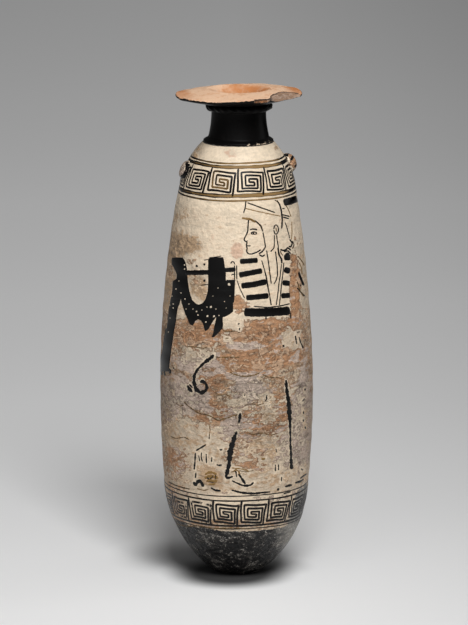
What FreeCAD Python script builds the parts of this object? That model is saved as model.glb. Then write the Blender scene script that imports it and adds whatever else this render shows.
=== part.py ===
# Alabastron: a slender perfume vessel of fired clay, thrown on the wheel and fired as one
# piece. A rounded base with a small resting flat carries a long body that swells towards
# the belly and closes in a round shoulder. A ridge marks the foot of the short hollowed
# neck, a ring lies under the mouth, and the mouth is a thin spreading plate that rises a
# little to a rolled edge and turns down into a straight bore. Two small unpierced lugs
# stand on the shoulder, left and right, and a flake is broken out of the plate's edge.
# Frame: millimetres, +Z up, origin at the middle of the resting flat, lugs on the X axis.

import FreeCAD, Part
import os

import Sketcher

SIZES = {
    # Outside of the body: radii, the rise of each stretch over the one below, and how far
    # each stretch swells beyond a straight line
    "flat_radius": 7.0,
    "heel_radius": 13.2,
    "heel_rise": 4.7,
    "heel_bulge": 0.36,
    "flank_radius": 24.5,
    "flank_rise": 25.3,
    "flank_bulge": 2.36,
    "belly_radius": 25.8,
    "belly_rise": 34.5,
    "belly_bulge": 0.36,
    "shoulder_radius": 19.2,
    "wall_rise": 70.4,
    "wall_bulge": 1.66,
    "shoulder_rise": 13.8,
    "shoulder_bulge": 1.1,
    # Ridge, neck and ring
    "ridge_radius": 11.8,
    "ridge_rise": 0.5,
    "ridge_slope": 0.9,
    "neck_foot_radius": 10.3,
    "neck_radius": 9.15,
    "neck_rise": 9.2,
    "neck_hollow": 0.42,
    "ring_radius": 11.2,
    "ring_thickness": 1.9,
    # Mouth plate
    "plate_root_radius": 9.7,
    "plate_radius": 21.3,
    "plate_rise": 2.9,
    "rim_thickness": 1.1,
    "mouth_rise": 1.3,
    "mouth_crown": 0.12,
    "mouth_roll": 5.0,
    # Inside
    "bore_radius": 6.3,
    "wall": 4.0,
    "shoulder_wall": 3.4,
    "floor_thickness": 8.0,
    # Lugs: the middle of each lies above the shoulder's edge and inside its radius
    "lug_lift": 4.9,
    "lug_inset": 1.9,
    "lug_depth": 2.9,
    "lug_half_width": 3.8,
    "lug_half_height": 3.2,
    # Broken edge of the plate: a shallow nick from break_start to break_step, and a deep
    # flake from there to break_end, as angles in degrees from the front (-Y) towards +X.
    # The depths hold at the level of the mouth's top, and the slopes are how far the
    # broken face moves out for each millimetre down
    "break_start": 4.0,
    "break_step": 24.0,
    "break_end": 78.0,
    "nick_depth": 1.2,
    "nick_slope": 0.23,
    "flake_depth": 6.6,
    "flake_slope": 1.9,
    "break_margin": 1.5,
}

# Stretches of the outside, from the flat up to the top of the mouth
HEEL = ("heel_rise",)
FLANK = HEEL + ("flank_rise",)
BELLY = FLANK + ("belly_rise",)
SHOULDER = BELLY + ("wall_rise",)
RIDGE = SHOULDER + ("shoulder_rise",)
RIDGE_TOP = RIDGE + ("ridge_rise",)
NECK_FOOT = RIDGE_TOP + ("ridge_slope",)
RING_UNDER = NECK_FOOT + ("neck_rise",)
RING_OVER = RING_UNDER + ("ring_thickness",)
RIM_UNDER = RING_OVER + ("plate_rise",)
RIM_OVER = RIM_UNDER + ("rim_thickness",)
MOUTH_TOP = RIM_OVER + ("mouth_rise",)

# The break's inner line, as shares of its angle and of its depth
NICK_LINE = ((0.15, 0.8), (0.55, 1.0), (0.95, 0.85))
FLAKE_LINE = ((0.08, 0.5), (0.25, 0.8), (0.5, 0.97), (0.78, 1.0), (0.92, 0.55))
# Where the break's outer line, clear of the plate, has its corners on the way back
RETURN_LINE = (0.75, 0.5, 0.25)

SHEET = "sizes"


def cell(name):
    return SHEET + "." + name


def height(stretches):
    """Height of a place on the axis, as a sum of the stretches below it."""
    return " + ".join(cell(name) for name in stretches)


def make_sheet(doc):
    """One row for each driving dimension: its name, and its value under an alias."""
    sheet = doc.addObject("Spreadsheet::Sheet", SHEET)
    for row, (name, value) in enumerate(SIZES.items(), start=1):
        sheet.set("A%d" % row, name)
        sheet.set("B%d" % row, str(value))
        sheet.setAlias("B%d" % row, name)
    doc.recompute()
    return sheet


def value_of(doc, expression):
    """The number that an expression of cells has now, for a first guess in a sketch."""
    return float(doc.getObject(SHEET).evalExpression(expression))


def origin_feature(body, role):
    return next(part for part in body.Origin.OriginFeatures if part.Role == role)


class Outline:
    """A closed outline in a sketch. Each corner has an expression for each coordinate. The
    edge that leaves a corner is straight, or an arc that stands off its chord by a bulge, or
    an arc whose centre has a given place across. Side 1 bends an arc to the right of the
    way travelled, and side -1 to the left."""

    def __init__(self, doc, sketch):
        self.doc = doc
        self.sketch = sketch
        self.corners = []
        self.edges = []

    def corner(self, across, along, bulge=None, centre=None, side=1):
        self.corners.append((across, along))
        self.edges.append((bulge, centre, side))

    def ends(self, index):
        return self.corners[index], self.corners[(index + 1) % len(self.corners)]

    def point(self, corner):
        return FreeCAD.Vector(
            value_of(self.doc, corner[0]), value_of(self.doc, corner[1]), 0
        )

    def arc_middle(self, index):
        """A point of the arc half way along it."""
        bulge, centre, side = self.edges[index]
        start, end = (self.point(corner) for corner in self.ends(index))
        chord = end - start
        right = FreeCAD.Vector(chord.y, -chord.x, 0).normalize() * side
        if bulge is not None:
            return (start + end) * 0.5 + right * value_of(self.doc, bulge)
        across = value_of(self.doc, centre)
        squares = end.x**2 + end.y**2 - start.x**2 - start.y**2
        along = (squares - 2 * across * chord.x) / (2 * chord.y)
        middle = FreeCAD.Vector(across, along, 0)
        return middle + right * (start - middle).Length

    def radius(self, index):
        """An arc's radius from its chord and its bulge, as an expression."""
        bulge = self.edges[index][0]
        (x0, y0), (x1, y1) = self.ends(index)
        chord = "((%s) - (%s))^2 + ((%s) - (%s))^2" % (x1, x0, y1, y0)
        return "((%s) / 4 + (%s)^2) / (2 * (%s))" % (chord, bulge, bulge)

    def draw(self):
        """Adds the edges, joins them end to end and ties their sizes to the sheet."""
        count = len(self.corners)
        for index in range(count):
            start, end = (self.point(corner) for corner in self.ends(index))
            if self.straight(index):
                edge = Part.LineSegment(start, end)
            elif self.order(index) == (1, 2):
                edge = Part.Arc(start, self.arc_middle(index), end)
            else:
                edge = Part.Arc(end, self.arc_middle(index), start)
            self.sketch.addGeometry(edge, False)
        order = [self.order(index) for index in range(count)]
        for index in range(count):
            after = (index + 1) % count
            self.add("Coincident", index, order[index][1], after, order[after][0])
        for index in range(count):
            self.hold_point(index, order[index][0], *self.corners[index])
            bulge, centre, side = self.edges[index]
            if bulge is not None:
                self.tie("Radius", self.radius(index), index)
            elif centre is not None:
                self.hold_point(index, 3, centre, None)

    def straight(self, index):
        return self.edges[index][0] is None and self.edges[index][1] is None

    def order(self, index):
        """The numbers of an edge's end points, the first on the way round first. A sketch
        runs its arcs anticlockwise, so an arc that bends to the left is drawn from its end."""
        return (1, 2) if self.edges[index][2] == 1 else (2, 1)

    def hold_point(self, index, number, across, along):
        """Holds a point of an edge at its distances from the sketch's axes."""
        for kind, axis, expression in (
            ("DistanceX", -2, across),
            ("DistanceY", -1, along),
        ):
            if expression == "0":
                self.add("PointOnObject", index, number, axis)
            elif expression is not None:
                self.tie(kind, expression, -1, 1, index, number)

    def add(self, *what):
        return self.sketch.addConstraint(Sketcher.Constraint(*what))

    def tie(self, kind, expression, *where):
        number = self.add(kind, *where, value_of(self.doc, expression))
        self.sketch.setExpression("Constraints[%d]" % number, expression)


def wall_section(doc, body):
    """Half section through the wall: up the outside, over the mouth and down the inside."""
    sketch = body.newObject("Sketcher::SketchObject", "wall_section")
    sketch.AttachmentSupport = [(origin_feature(body, "XZ_Plane"), "")]
    sketch.MapMode = "FlatFace"
    ring_edge = "%s - %s / 2" % (cell("ring_radius"), cell("ring_thickness"))
    rim_edge = "%s - %s / 2" % (cell("plate_radius"), cell("rim_thickness"))
    mouth_radius = "%s + %s" % (cell("bore_radius"), cell("mouth_roll"))
    bore_top = "%s - %s" % (height(MOUTH_TOP), cell("mouth_roll"))
    bore_foot = "%s - %s" % (height(RIDGE), cell("shoulder_wall"))

    def inner(name):
        return "%s - %s" % (cell(name), cell("wall"))

    line = Outline(doc, sketch)
    line.corner("0", "0")
    line.corner(cell("flat_radius"), "0", bulge=cell("heel_bulge"))
    line.corner(cell("heel_radius"), height(HEEL), bulge=cell("flank_bulge"))
    line.corner(cell("flank_radius"), height(FLANK), bulge=cell("belly_bulge"))
    line.corner(cell("belly_radius"), height(BELLY), bulge=cell("wall_bulge"))
    line.corner(cell("shoulder_radius"), height(SHOULDER), bulge=cell("shoulder_bulge"))
    line.corner(cell("ridge_radius"), height(RIDGE))
    line.corner(cell("ridge_radius"), height(RIDGE_TOP))
    line.corner(
        cell("neck_foot_radius"), height(NECK_FOOT), bulge=cell("neck_hollow"), side=-1
    )
    line.corner(cell("neck_radius"), height(RING_UNDER))
    line.corner(ring_edge, height(RING_UNDER), centre=ring_edge)
    line.corner(ring_edge, height(RING_OVER))
    line.corner(cell("plate_root_radius"), height(RING_OVER))
    line.corner(rim_edge, height(RIM_UNDER), centre=rim_edge)
    line.corner(rim_edge, height(RIM_OVER), bulge=cell("mouth_crown"))
    line.corner(mouth_radius, height(MOUTH_TOP), centre=mouth_radius)
    line.corner(cell("bore_radius"), bore_top)
    line.corner(cell("bore_radius"), bore_foot, bulge=cell("shoulder_bulge"), side=-1)
    line.corner(
        inner("shoulder_radius"), height(SHOULDER), bulge=cell("wall_bulge"), side=-1
    )
    line.corner(
        inner("belly_radius"), height(BELLY), bulge=cell("belly_bulge"), side=-1
    )
    line.corner(inner("flank_radius"), height(FLANK), centre="0", side=-1)
    line.corner("0", cell("floor_thickness"))
    line.draw()
    return sketch


def turn(body, sketch):
    """The wall's section turned once round the vessel's axis."""
    wall = body.newObject("PartDesign::Revolution", "thrown_wall")
    wall.Profile = sketch
    wall.ReferenceAxis = (origin_feature(body, "Z_Axis"), [""])
    wall.Angle = 360.0
    return wall


def add_lugs(doc, body):
    """Two low rounded lugs on the shoulder, the second a half turn from the first."""
    lug = body.newObject("PartDesign::AdditiveEllipsoid", "lug")
    for name, size in (
        ("Radius1", "lug_half_height"),
        ("Radius2", "lug_depth"),
        ("Radius3", "lug_half_width"),
    ):
        lug.setExpression(name, cell(size) + " * 1mm")
    lug.AttachmentSupport = [(origin_feature(body, "XY_Plane"), "")]
    lug.MapMode = "FlatFace"
    radius = "%s - %s" % (cell("shoulder_radius"), cell("lug_inset"))
    level = "%s + %s" % (height(SHOULDER), cell("lug_lift"))
    lug.setExpression(".AttachmentOffset.Base.x", "(%s) * 1mm" % radius)
    lug.setExpression(".AttachmentOffset.Base.z", "(%s) * 1mm" % level)
    doc.recompute()
    pair = body.newObject("PartDesign::PolarPattern", "lug_pair")
    pair.Originals = [lug]
    pair.Axis = (origin_feature(body, "Z_Axis"), [""])
    pair.Angle = 360.0
    pair.Occurrences = 2
    body.Tip = pair
    doc.recompute()
    return pair


def break_outline(doc, body, name, drop):
    """Outline of the missing edge at a drop below the top of the mouth."""
    sketch = body.newObject("Sketcher::SketchObject", name)
    sketch.AttachmentSupport = [(origin_feature(body, "XY_Plane"), "")]
    sketch.MapMode = "FlatFace"
    level = "%s - (%s)" % (height(MOUTH_TOP), drop)
    sketch.setExpression(".AttachmentOffset.Base.z", "(%s) * 1mm" % level)
    line = Outline(doc, sketch)

    def place(radius, start, end, share):
        angle = "(%s + (%s - %s) * %s) * 1deg" % (start, end, start, share)
        line.corner(
            "(%s) * sin(%s)" % (radius, angle), "-(%s) * cos(%s)" % (radius, angle)
        )

    def moved_out(slope):
        return "%s + %s * (%s)" % (cell("plate_radius"), cell(slope), drop)

    start, step, end = cell("break_start"), cell("break_step"), cell("break_end")
    margin = cell("break_margin")
    place("%s + %s" % (moved_out("nick_slope"), margin), start, step, 0)
    for share, depth in NICK_LINE:
        radius = "%s - %s * %s" % (moved_out("nick_slope"), cell("nick_depth"), depth)
        place(radius, start, step, share)
    for share, depth in FLAKE_LINE:
        radius = "%s - %s * %s" % (moved_out("flake_slope"), cell("flake_depth"), depth)
        place(radius, step, end, share)
    place("%s + %s" % (moved_out("flake_slope"), margin), step, end, 1)
    for share in RETURN_LINE:
        place("%s + %s * 2" % (moved_out("flake_slope"), margin), start, end, share)
    line.draw()
    return sketch


def break_rim(doc, body):
    """The piece lost from the plate's edge. It reaches past the clay above and below."""
    margin = cell("break_margin")
    through = "%s + %s + %s" % (cell("rim_thickness"), cell("mouth_rise"), margin)
    top = break_outline(doc, body, "break_top", "-" + margin)
    bottom = break_outline(doc, body, "break_bottom", through)
    doc.recompute()
    lost = body.newObject("PartDesign::SubtractiveLoft", "broken_edge")
    lost.Profile = top
    lost.Sections = [bottom]
    lost.Ruled = True
    body.Tip = lost
    doc.recompute()
    return lost


def check_features(doc):
    """Stops if any object of the document failed to build."""
    for item in doc.Objects:
        if "Invalid" in item.State or "Error" in item.State:
            raise RuntimeError("%s did not build: %s" % (item.Name, item.State))


def check_change(name, before, after, grows):
    """Stops if a feature did not add, or did not remove, clay."""
    change = after.Shape.Volume - before.Shape.Volume
    print("%s: %+.1f mm3" % (name, change))
    if (change > 0) != grows or change == 0:
        raise RuntimeError("%s changed the volume by %.3f mm3" % (name, change))


def export(body):
    shape = body.Shape
    if shape.isNull() or not shape.isValid() or len(shape.Solids) != 1:
        raise RuntimeError("%s is not one valid solid" % body.Label)
    os.makedirs("parts", exist_ok=True)
    shape.exportStep("parts/%s.step" % body.Label)
    box = shape.BoundBox
    print("%s: %.0f mm3, %.2f x %.2f x %.2f mm"
          % (body.Label, shape.Volume, box.XLength, box.YLength, box.ZLength))


def main():
    doc = FreeCAD.newDocument("alabastron")
    make_sheet(doc)
    body = doc.addObject("PartDesign::Body", "vessel")
    body.Label = "vessel"
    section = wall_section(doc, body)
    doc.recompute()
    wall = turn(body, section)
    doc.recompute()
    lugs = add_lugs(doc, body)
    lost = break_rim(doc, body)
    check_features(doc)
    check_change("lugs", wall, lugs, grows=True)
    check_change("broken edge", lugs, lost, grows=False)
    export(body)


main()
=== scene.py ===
"""Alabastron: the fired clay, cream slip, black glaze and brushwork of a slender perfume
vessel. The wall is a function of azimuth and height; the brushwork is thin closed slabs of
glaze that lie on it. Lengths inside the functions are millimetres, azimuths are degrees
from the front (-Y) towards +X, and pictures are drawn in pixels of the 468 x 625 frame."""

import math

import bpy
import numpy as np
from mathutils import Matrix, Vector


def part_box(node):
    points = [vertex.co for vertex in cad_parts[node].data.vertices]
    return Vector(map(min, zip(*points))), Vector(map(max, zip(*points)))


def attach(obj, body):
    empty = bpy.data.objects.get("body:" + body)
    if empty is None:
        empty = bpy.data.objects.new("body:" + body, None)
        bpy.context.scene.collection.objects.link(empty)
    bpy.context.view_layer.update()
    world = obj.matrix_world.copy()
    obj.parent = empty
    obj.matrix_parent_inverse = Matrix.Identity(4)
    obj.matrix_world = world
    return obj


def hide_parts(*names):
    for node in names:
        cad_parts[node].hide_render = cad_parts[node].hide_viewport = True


bl_info = {
    "name": "Alabastron",
    "version": (1, 0, 0),
    "blender": (4, 5, 0),
    "location": "View3D > Sidebar > Alabastron",
    "description": "Builds the painted clay of a slender perfume vessel and its stage",
    "category": "Object",
}

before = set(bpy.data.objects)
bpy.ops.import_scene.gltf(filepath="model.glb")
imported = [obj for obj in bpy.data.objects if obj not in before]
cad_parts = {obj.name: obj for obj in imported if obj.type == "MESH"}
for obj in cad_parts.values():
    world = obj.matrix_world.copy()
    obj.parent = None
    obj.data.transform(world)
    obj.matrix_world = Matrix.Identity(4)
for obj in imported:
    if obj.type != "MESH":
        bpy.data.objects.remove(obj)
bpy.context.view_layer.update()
NODE_LOW, NODE_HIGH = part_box("vessel")
BODY = "root"
NODE = "vessel"
MM = 0.001
PER_METRE = 1000.0

# Frame of the photograph, in pixels, and how far along the lens it is focused
FRAME_WIDTH = 468
FRAME_HEIGHT = 625
FOCAL_PIXELS = 4700.0
AXIS_PIXEL = 236.5
SENSOR = 36.0


def linear(*levels):
    """Linear light from levels of 0 to 255, by the sRGB curve."""
    share = np.array(levels) / 255.0
    low = share / 12.92
    high = ((share + 0.055) / 1.055) ** 2.4
    return tuple(float(v) for v in np.where(share <= 0.04045, low, high))


def length(name, millimetres, description):
    return bpy.props.FloatProperty(
        name=name, description=description, default=millimetres * MM, unit="LENGTH"
    )


def stretch(name, radius, rise, bulge, description):
    """Three lengths of one stretch of the outline: radius at its upper end, rise, bulge."""
    return bpy.props.FloatVectorProperty(
        name=name,
        description=description + ": radius at its upper end, rise, and bulge",
        default=(radius * MM, rise * MM, bulge * MM),
        size=3,
        unit="LENGTH",
    )


def colour(name, levels, description):
    return bpy.props.FloatVectorProperty(
        name=name,
        description=description,
        default=linear(*levels) + (1.0,),
        size=4,
        min=0.0,
        max=1.0,
        subtype="COLOR",
    )


def angle(name, degrees, description):
    return bpy.props.FloatProperty(
        name=name,
        description=description,
        default=math.radians(degrees),
        subtype="ANGLE",
        unit="ROTATION",
    )


def amount(name, value, description):
    return bpy.props.FloatProperty(name=name, description=description, default=value)


class AlabastronSizes(bpy.types.PropertyGroup):
    """Lengths of the vessel, from the flat under its base to the top of its mouth."""

    flat_radius: length("Flat", 7.0, "Radius of the resting flat")
    heel: stretch("Heel", 13.2, 4.7, 0.36, "Curve from the flat into the base")
    flank: stretch("Flank", 24.5, 25.3, 2.36, "Rounded lower body")
    belly: stretch(
        "Belly", NODE_HIGH.x * PER_METRE, 34.5, 0.36, "Up to the widest place"
    )
    wall: stretch("Wall", 19.2, 70.4, 1.66, "Long narrowing body")
    shoulder: stretch("Shoulder", 11.8, 13.8, 1.1, "Round shoulder up to the ridge")
    ridge_rise: length("Ridge", 0.5, "Height of the ridge at the neck's foot")
    ridge_slope: length("Ridge slope", 0.9, "Height of the slope above the ridge")
    neck_foot_radius: length("Neck foot", 10.3, "Radius where the neck starts")
    neck: stretch("Neck", 9.2, 9.2, 0.3, "Hollowed neck")
    ring_radius: length("Ring", 11.2, "Radius of the ring under the mouth")
    ring_thickness: length("Ring thickness", 2.25, "Height of the ring")
    plate_root: length("Plate root", 9.7, "Radius where the mouth plate starts")
    plate_radius: length("Plate", 21.3, "Radius of the mouth plate")
    plate_rise: length("Plate rise", 2.55, "Rise of the plate's underside")
    rim_thickness: length("Rim thickness", 1.1, "Height of the plate's round edge")
    mouth_rise: length("Mouth rise", 1.3, "Rise of the plate's top above its edge")
    mouth_crown: length("Mouth crown", 0.12, "Bulge of the plate's top")
    mouth_roll: length("Mouth roll", 5.0, "Radius of the turn down into the bore")
    bore_radius: length("Bore", 6.3, "Radius of the bore")
    wall_thickness: length("Wall thickness", 4.0, "Clay between body and hollow")
    shoulder_thickness: length("Shoulder clay", 3.4, "Clay under the ridge")
    floor_thickness: length("Floor", 8.0, "Clay under the hollow")
    lug_depth: length("Lug depth", 2.6, "How far the lugs stand out")
    lug_half_width: length("Lug half width", 3.6, "Half width of a lug")
    lug_half_height: length("Lug half height", 2.9, "Half height of a lug")
    glaze_thickness: length("Glaze", 0.05, "How far brushed glaze stands out")


class AlabastronColours(bpy.types.PropertyGroup):
    """Colours of the clay, the slip and the glaze."""

    # The slip's cream is also laid as painted highlight along flake edges.
    slip: colour("Slip", (224, 206, 181), "Cream slip where it is clean")
    slip_stained: colour("Stained slip", (200, 180, 156), "Slip with old stains")
    slip_rose: colour("Rose slip", (198, 164, 140), "Slip rubbed to a rosy tone")
    clay: colour("Clay", (174, 142, 112), "Bare body clay, brown")
    rust: colour("Rust clay", (168, 126, 92), "Bare body clay, orange")
    # The film's grey is also a painted sheen down the body's right edge.
    film: colour("Film", (178, 162, 150), "Grey film of burial on the bare clay")
    # Umber is also the painted shadow at flake feet and in creases, and painted shade on the body's
    # sides.
    umber: colour("Umber", (88, 64, 48), "Dark brown stain")
    earth: colour("Earth", (150, 120, 88), "Yellow brown dirt on the slip")
    # The chalk is also laid as a painted grey sheen on the base glaze at the right.
    chalk: colour("Chalk", (206, 200, 190), "Pale specks where the black glaze is pitted")
    glaze: colour("Glaze", (12, 11, 11), "Black glaze")
    # Worn glaze is also the painted shadow along the top of the mouth's break.
    worn_glaze: colour("Worn glaze", (42, 38, 36), "Black glaze rubbed thin")
    dilute: colour("Dilute glaze", (142, 110, 62), "Golden brown dilute glaze")
    plate: colour("Plate clay", (226, 188, 156), "Pale clay on top of the mouth")
    # Inside the mouth this orange also stands for painted shade in the hollow.
    funnel: colour("Funnel clay", (188, 124, 78), "Orange clay inside the mouth")
    fracture: colour("Fracture", (146, 118, 98), "Broken clay")
    dots: colour("Dots", (212, 196, 172), "Cream dots laid on the glaze")
    floor: colour("Floor", (238, 238, 238), "Floor at the vessel's foot")


class AlabastronStage(bpy.types.PropertyGroup):
    """Camera, lamps and floor."""

    azimuth: angle("Azimuth", -10.0, "Camera's place round the vessel")
    elevation: angle("Elevation", 11.3, "Camera's height over the horizon")
    distance: length("Distance", 1593.0, "From the camera to the vessel's axis")
    aim: length("Aim", 89.7, "Height of the aim on the vessel's axis")
    key_power: amount("Key", 9.1, "Watts of the large lamp, high at the front right")
    fill_power: amount("Fill", 0.9, "Watts of the weak lamp at the front left")
    top_power: amount("Top", 1.2, "Watts of the lamp overhead")
    side_power: amount("Side", 0.6, "Watts of the low lamp at the right edge")
    sky: amount("Sky", 0.07, "Strength of the even light from all round")


# Mesh building


def grid_faces(rows, columns, wrap_rows=False):
    """Quads of a grid whose point (i, j) has number i * columns + j and whose columns close
    into a ring. Rows run up the wall and columns anticlockwise, so the quads face outwards."""
    i = np.arange(rows if wrap_rows else rows - 1)[:, None]
    j = np.arange(columns)[None, :]
    here, above = i * columns, (i + 1) % rows * columns
    after = (j + 1) % columns
    quads = [here + j, here + after, above + after, above + j]
    return np.stack(quads, axis=-1).reshape(-1, 4)


def fan_faces(first, count, centre, outward):
    """Triangles from a pole to the row of points that starts at a number."""
    j = np.arange(count)
    after = (j + 1) % count
    near, far = (after, j) if outward else (j, after)
    return np.stack([first + near, first + far, np.full(count, centre)], axis=-1)


def make_piece(name, points, faces, material, attributes=None):
    """A smooth mesh object at the origin, from points in millimetres and lists of faces."""
    mesh = bpy.data.meshes.new(name)
    listed = [corners for group in faces for corners in group.tolist()]
    mesh.from_pydata((points * MM).tolist(), [], listed)
    mesh.polygons.foreach_set("use_smooth", np.ones(len(mesh.polygons), bool))
    for key, values in (attributes or {}).items():
        layer = mesh.attributes.new(key, "FLOAT", "POINT")
        layer.data.foreach_set("value", np.ascontiguousarray(values, np.float32))
    mesh.update()
    mesh.materials.append(material)
    piece = bpy.data.objects.new(name, mesh)
    bpy.context.scene.collection.objects.link(piece)
    return piece


def settle(piece):
    """Ties a finished piece to the vessel's body and hides the vessel's node."""
    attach(piece, BODY)
    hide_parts(NODE)


def wrapped(azimuth):
    """An azimuth from -180 to 180 degrees."""
    return (azimuth + 180.0) % 360.0 - 180.0


# The wall as a function of azimuth and height


def bowed(start, end, bulge, count, side=1):
    """An arc from start to end that stands off its chord by bulge, to the right of the way
    for side 1. Its radius is (half chord squared + bulge squared) / (2 bulge), and its
    points are equal turns apart. The first point is left out."""
    start, end = np.array(start, float), np.array(end, float)
    chord = end - start
    span = np.hypot(*chord)
    forward = chord / span
    right = np.array([forward[1], -forward[0]]) * side
    share = np.linspace(-1, 1, count + 1)[1:, None]
    if bulge == 0:
        return start + chord * (share + 1) / 2
    radius = (span**2 / 4 + bulge**2) / (2 * bulge)
    half_turn = math.asin(span / 2 / radius)
    along = radius * np.sin(share * half_turn)
    off = radius * np.cos(share * half_turn) - (radius - bulge)
    return (start + end) / 2 + forward * along + right * off


def half_round(start, end, count, side=1):
    """A half circle from start to end, the first point left out."""
    start, end = np.array(start, float), np.array(end, float)
    middle, arm = (start + end) / 2, (start - end) / 2
    turn = np.linspace(0, math.pi, count + 1)[1:, None] * side
    return middle + arm * np.cos(turn) + np.array([-arm[1], arm[0]]) * np.sin(turn)


# Slow departures of the hand-made wall from a true turning, along the camera's right: the
# vessel leans a little, as heights and shifts
LEAN_HEIGHTS = (0.0, 14.0, 26.0, 124.0, 138.0, 146.0, 151.0, 170.0)
LEAN_SHIFTS = (0.3, 0.3, 0.0, 0.0, 0.36, 0.45, 0.75, 0.75)

# Lugs: azimuth and height of the middle of each, and its share of the lug depth
LUGS = ((90.0, 140.6, 1.0), (-90.0, 139.2, 0.62))

# Points of the wall's table for each point of its outline
TABLE_FINENESS = 12

# The search along a pixel's ray: its length in millimetres and how often it is halved
HALF_SEARCH = 40.0
HALVINGS = 44


class Wall:
    """The outside of the body, with the camera's geometry for drawing on it."""

    def __init__(self, sizes, stage):
        self.sizes = sizes
        self.stage = stage
        line = self.outline(1)
        dense = self.outline(TABLE_FINENESS)
        self.line = line
        self.table_z = dense[:, 1]
        self.table_r = dense[:, 0]
        self.table_slope = np.gradient(self.table_r, self.table_z)
        self.top = line[-1, 1]
        turn = stage.azimuth
        rise = stage.elevation
        self.right = np.array([math.cos(turn), math.sin(turn), 0.0])
        self.back = np.array(
            [
                math.sin(turn) * math.cos(rise),
                -math.cos(turn) * math.cos(rise),
                math.sin(rise),
            ]
        )
        self.up = np.cross(self.back, self.right)
        self.aim = np.array([0.0, 0.0, stage.aim * PER_METRE])
        self.distance = stage.distance * PER_METRE

    def outline(self, finer):
        """Radius and height up the outside, from the flat's edge to the ridge."""
        sizes = self.sizes
        here = np.array([sizes.flat_radius * PER_METRE, 0.0])
        line = [here[None, :]]
        for part, count in (
            (sizes.heel, 7),
            (sizes.flank, 34),
            (sizes.belly, 42),
            (sizes.wall, 92),
            (sizes.shoulder, 34),
        ):
            radius, rise, bulge = np.array(part) * PER_METRE
            there = np.array([radius, here[1] + rise])
            line.append(bowed(here, there, bulge, count * finer))
            here = there
        return np.concatenate(line)

    def radius(self, height):
        return np.interp(height, self.table_z, self.table_r)

    def swell(self, azimuth, height):
        """Dents and throwing rings of a tenth of a millimetre, and the two lugs: a lug
        stands out by its depth times the square root of 1 - u^2.6 - v^2.6, where u and v
        are the distances from its middle over its half width and half height."""
        turn = np.radians(azimuth)
        rings = 0.05 * np.sin(height * 0.71 + 0.8 * np.sin(turn + 0.4))
        rings += 0.03 * np.sin(height * 1.13 + 1.7 * np.cos(turn * 2))
        dents = 0.12 * np.sin(turn * 2 + height * 0.035) * np.sin(height * 0.055 + 1.0)
        dents += 0.07 * np.sin(turn * 5 + height * 0.09 + 2.0)
        quiet = np.clip((height - 3.0) / 12.0, 0, 1)
        quiet = quiet * np.clip((self.top - height) / 6.0, 0, 1)
        out = (rings + dents) * quiet
        for lug in LUGS:
            depth = self.sizes.lug_depth * PER_METRE * lug[2]
            out = out + depth * self.inside_lug(lug, azimuth, height) ** 0.6
        return out

    def inside_lug(self, lug, azimuth, height):
        """1 in the middle of a lug, 0 at its border and beyond."""
        across = wrapped(azimuth - lug[0])
        u = np.radians(across) * self.radius(height)
        u = u / (self.sizes.lug_half_width * PER_METRE)
        v = (height - lug[1]) / (self.sizes.lug_half_height * PER_METRE)
        return np.clip(1 - np.abs(u) ** 2.6 - np.abs(v) ** 2.6, 0, 1)

    def lean(self, height):
        shift = np.interp(height, LEAN_HEIGHTS, LEAN_SHIFTS)
        return shift[..., None] * self.right

    def point(self, azimuth, height, lift=0.0):
        """Place on the wall: the radius at a height, swelled and lifted along the outline's
        normal, turned to the azimuth and moved by the lean."""
        azimuth, height = np.broadcast_arrays(
            np.asarray(azimuth, float), np.asarray(height, float)
        )
        slope = np.interp(height, self.table_z, self.table_slope)
        steep = np.hypot(1.0, slope)
        out = self.swell(azimuth, height) + lift
        radius = self.radius(height) + out / steep
        level = height - out * slope / steep
        return self.place(azimuth, radius, level) + self.lean(height)

    def place(self, azimuth, radius, height):
        turn = np.radians(azimuth)
        return np.stack(
            [radius * np.sin(turn), -radius * np.cos(turn), height + 0 * turn], axis=-1
        )

    def to_pixel(self, points):
        """Where the camera sees points: offsets over depth, times the focal length."""
        offset = points - self.aim
        depth = self.distance - offset @ self.back
        x = AXIS_PIXEL + FOCAL_PIXELS * (offset @ self.right) / depth
        y = FRAME_HEIGHT / 2 - FOCAL_PIXELS * (offset @ self.up) / depth
        return x, y

    def from_pixel(self, x, y):
        """Azimuth and height of the wall seen at a pixel. Along the pixel's ray the distance
        from the axis less the radius falls from positive to negative, and halving the
        stretch between finds where it is zero."""
        x, y = np.broadcast_arrays(np.asarray(x, float), np.asarray(y, float))
        ray = (
            -self.back
            + (x - AXIS_PIXEL)[..., None] / FOCAL_PIXELS * self.right
            + (FRAME_HEIGHT / 2 - y)[..., None] / FOCAL_PIXELS * self.up
        )
        start = self.aim + self.back * self.distance
        flat = ray[..., :2]
        nearest = -(flat @ start[:2]) / np.sum(flat**2, axis=-1)
        near = nearest - HALF_SEARCH
        far = nearest
        for _ in range(HALVINGS):
            middle = (near + far) / 2
            spot = start + ray * middle[..., None]
            spot = spot - self.lean(spot[..., 2])
            outside = np.hypot(spot[..., 0], spot[..., 1]) > self.radius(spot[..., 2])
            near = np.where(outside, middle, near)
            far = np.where(outside, far, middle)
        azimuth = np.degrees(np.arctan2(spot[..., 0], -spot[..., 1]))
        return azimuth, spot[..., 2]


def the_wall():
    scene = bpy.context.scene
    return Wall(scene.alabastron_sizes, scene.alabastron_stage)


# Shader expressions


class Wire:
    """A socket that takes part in expressions: each operator adds a Math node."""

    def __init__(self, shader, socket):
        self.shader = shader
        self.socket = socket

    def math(self, operation, *values):
        return self.shader.node(
            "ShaderNodeMath", {"operation": operation}, dict(enumerate(values))
        )

    def __add__(self, other):
        return self.math("ADD", self, other)

    __radd__ = __add__

    def __mul__(self, other):
        return self.math("MULTIPLY", self, other)

    __rmul__ = __mul__

    def __sub__(self, other):
        return self.math("SUBTRACT", self, other)

    def __rsub__(self, other):
        return self.math("SUBTRACT", other, self)

    def highest(self, other):
        return self.math("MAXIMUM", self, other)

    def size(self):
        return self.math("ABSOLUTE", self)


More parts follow.
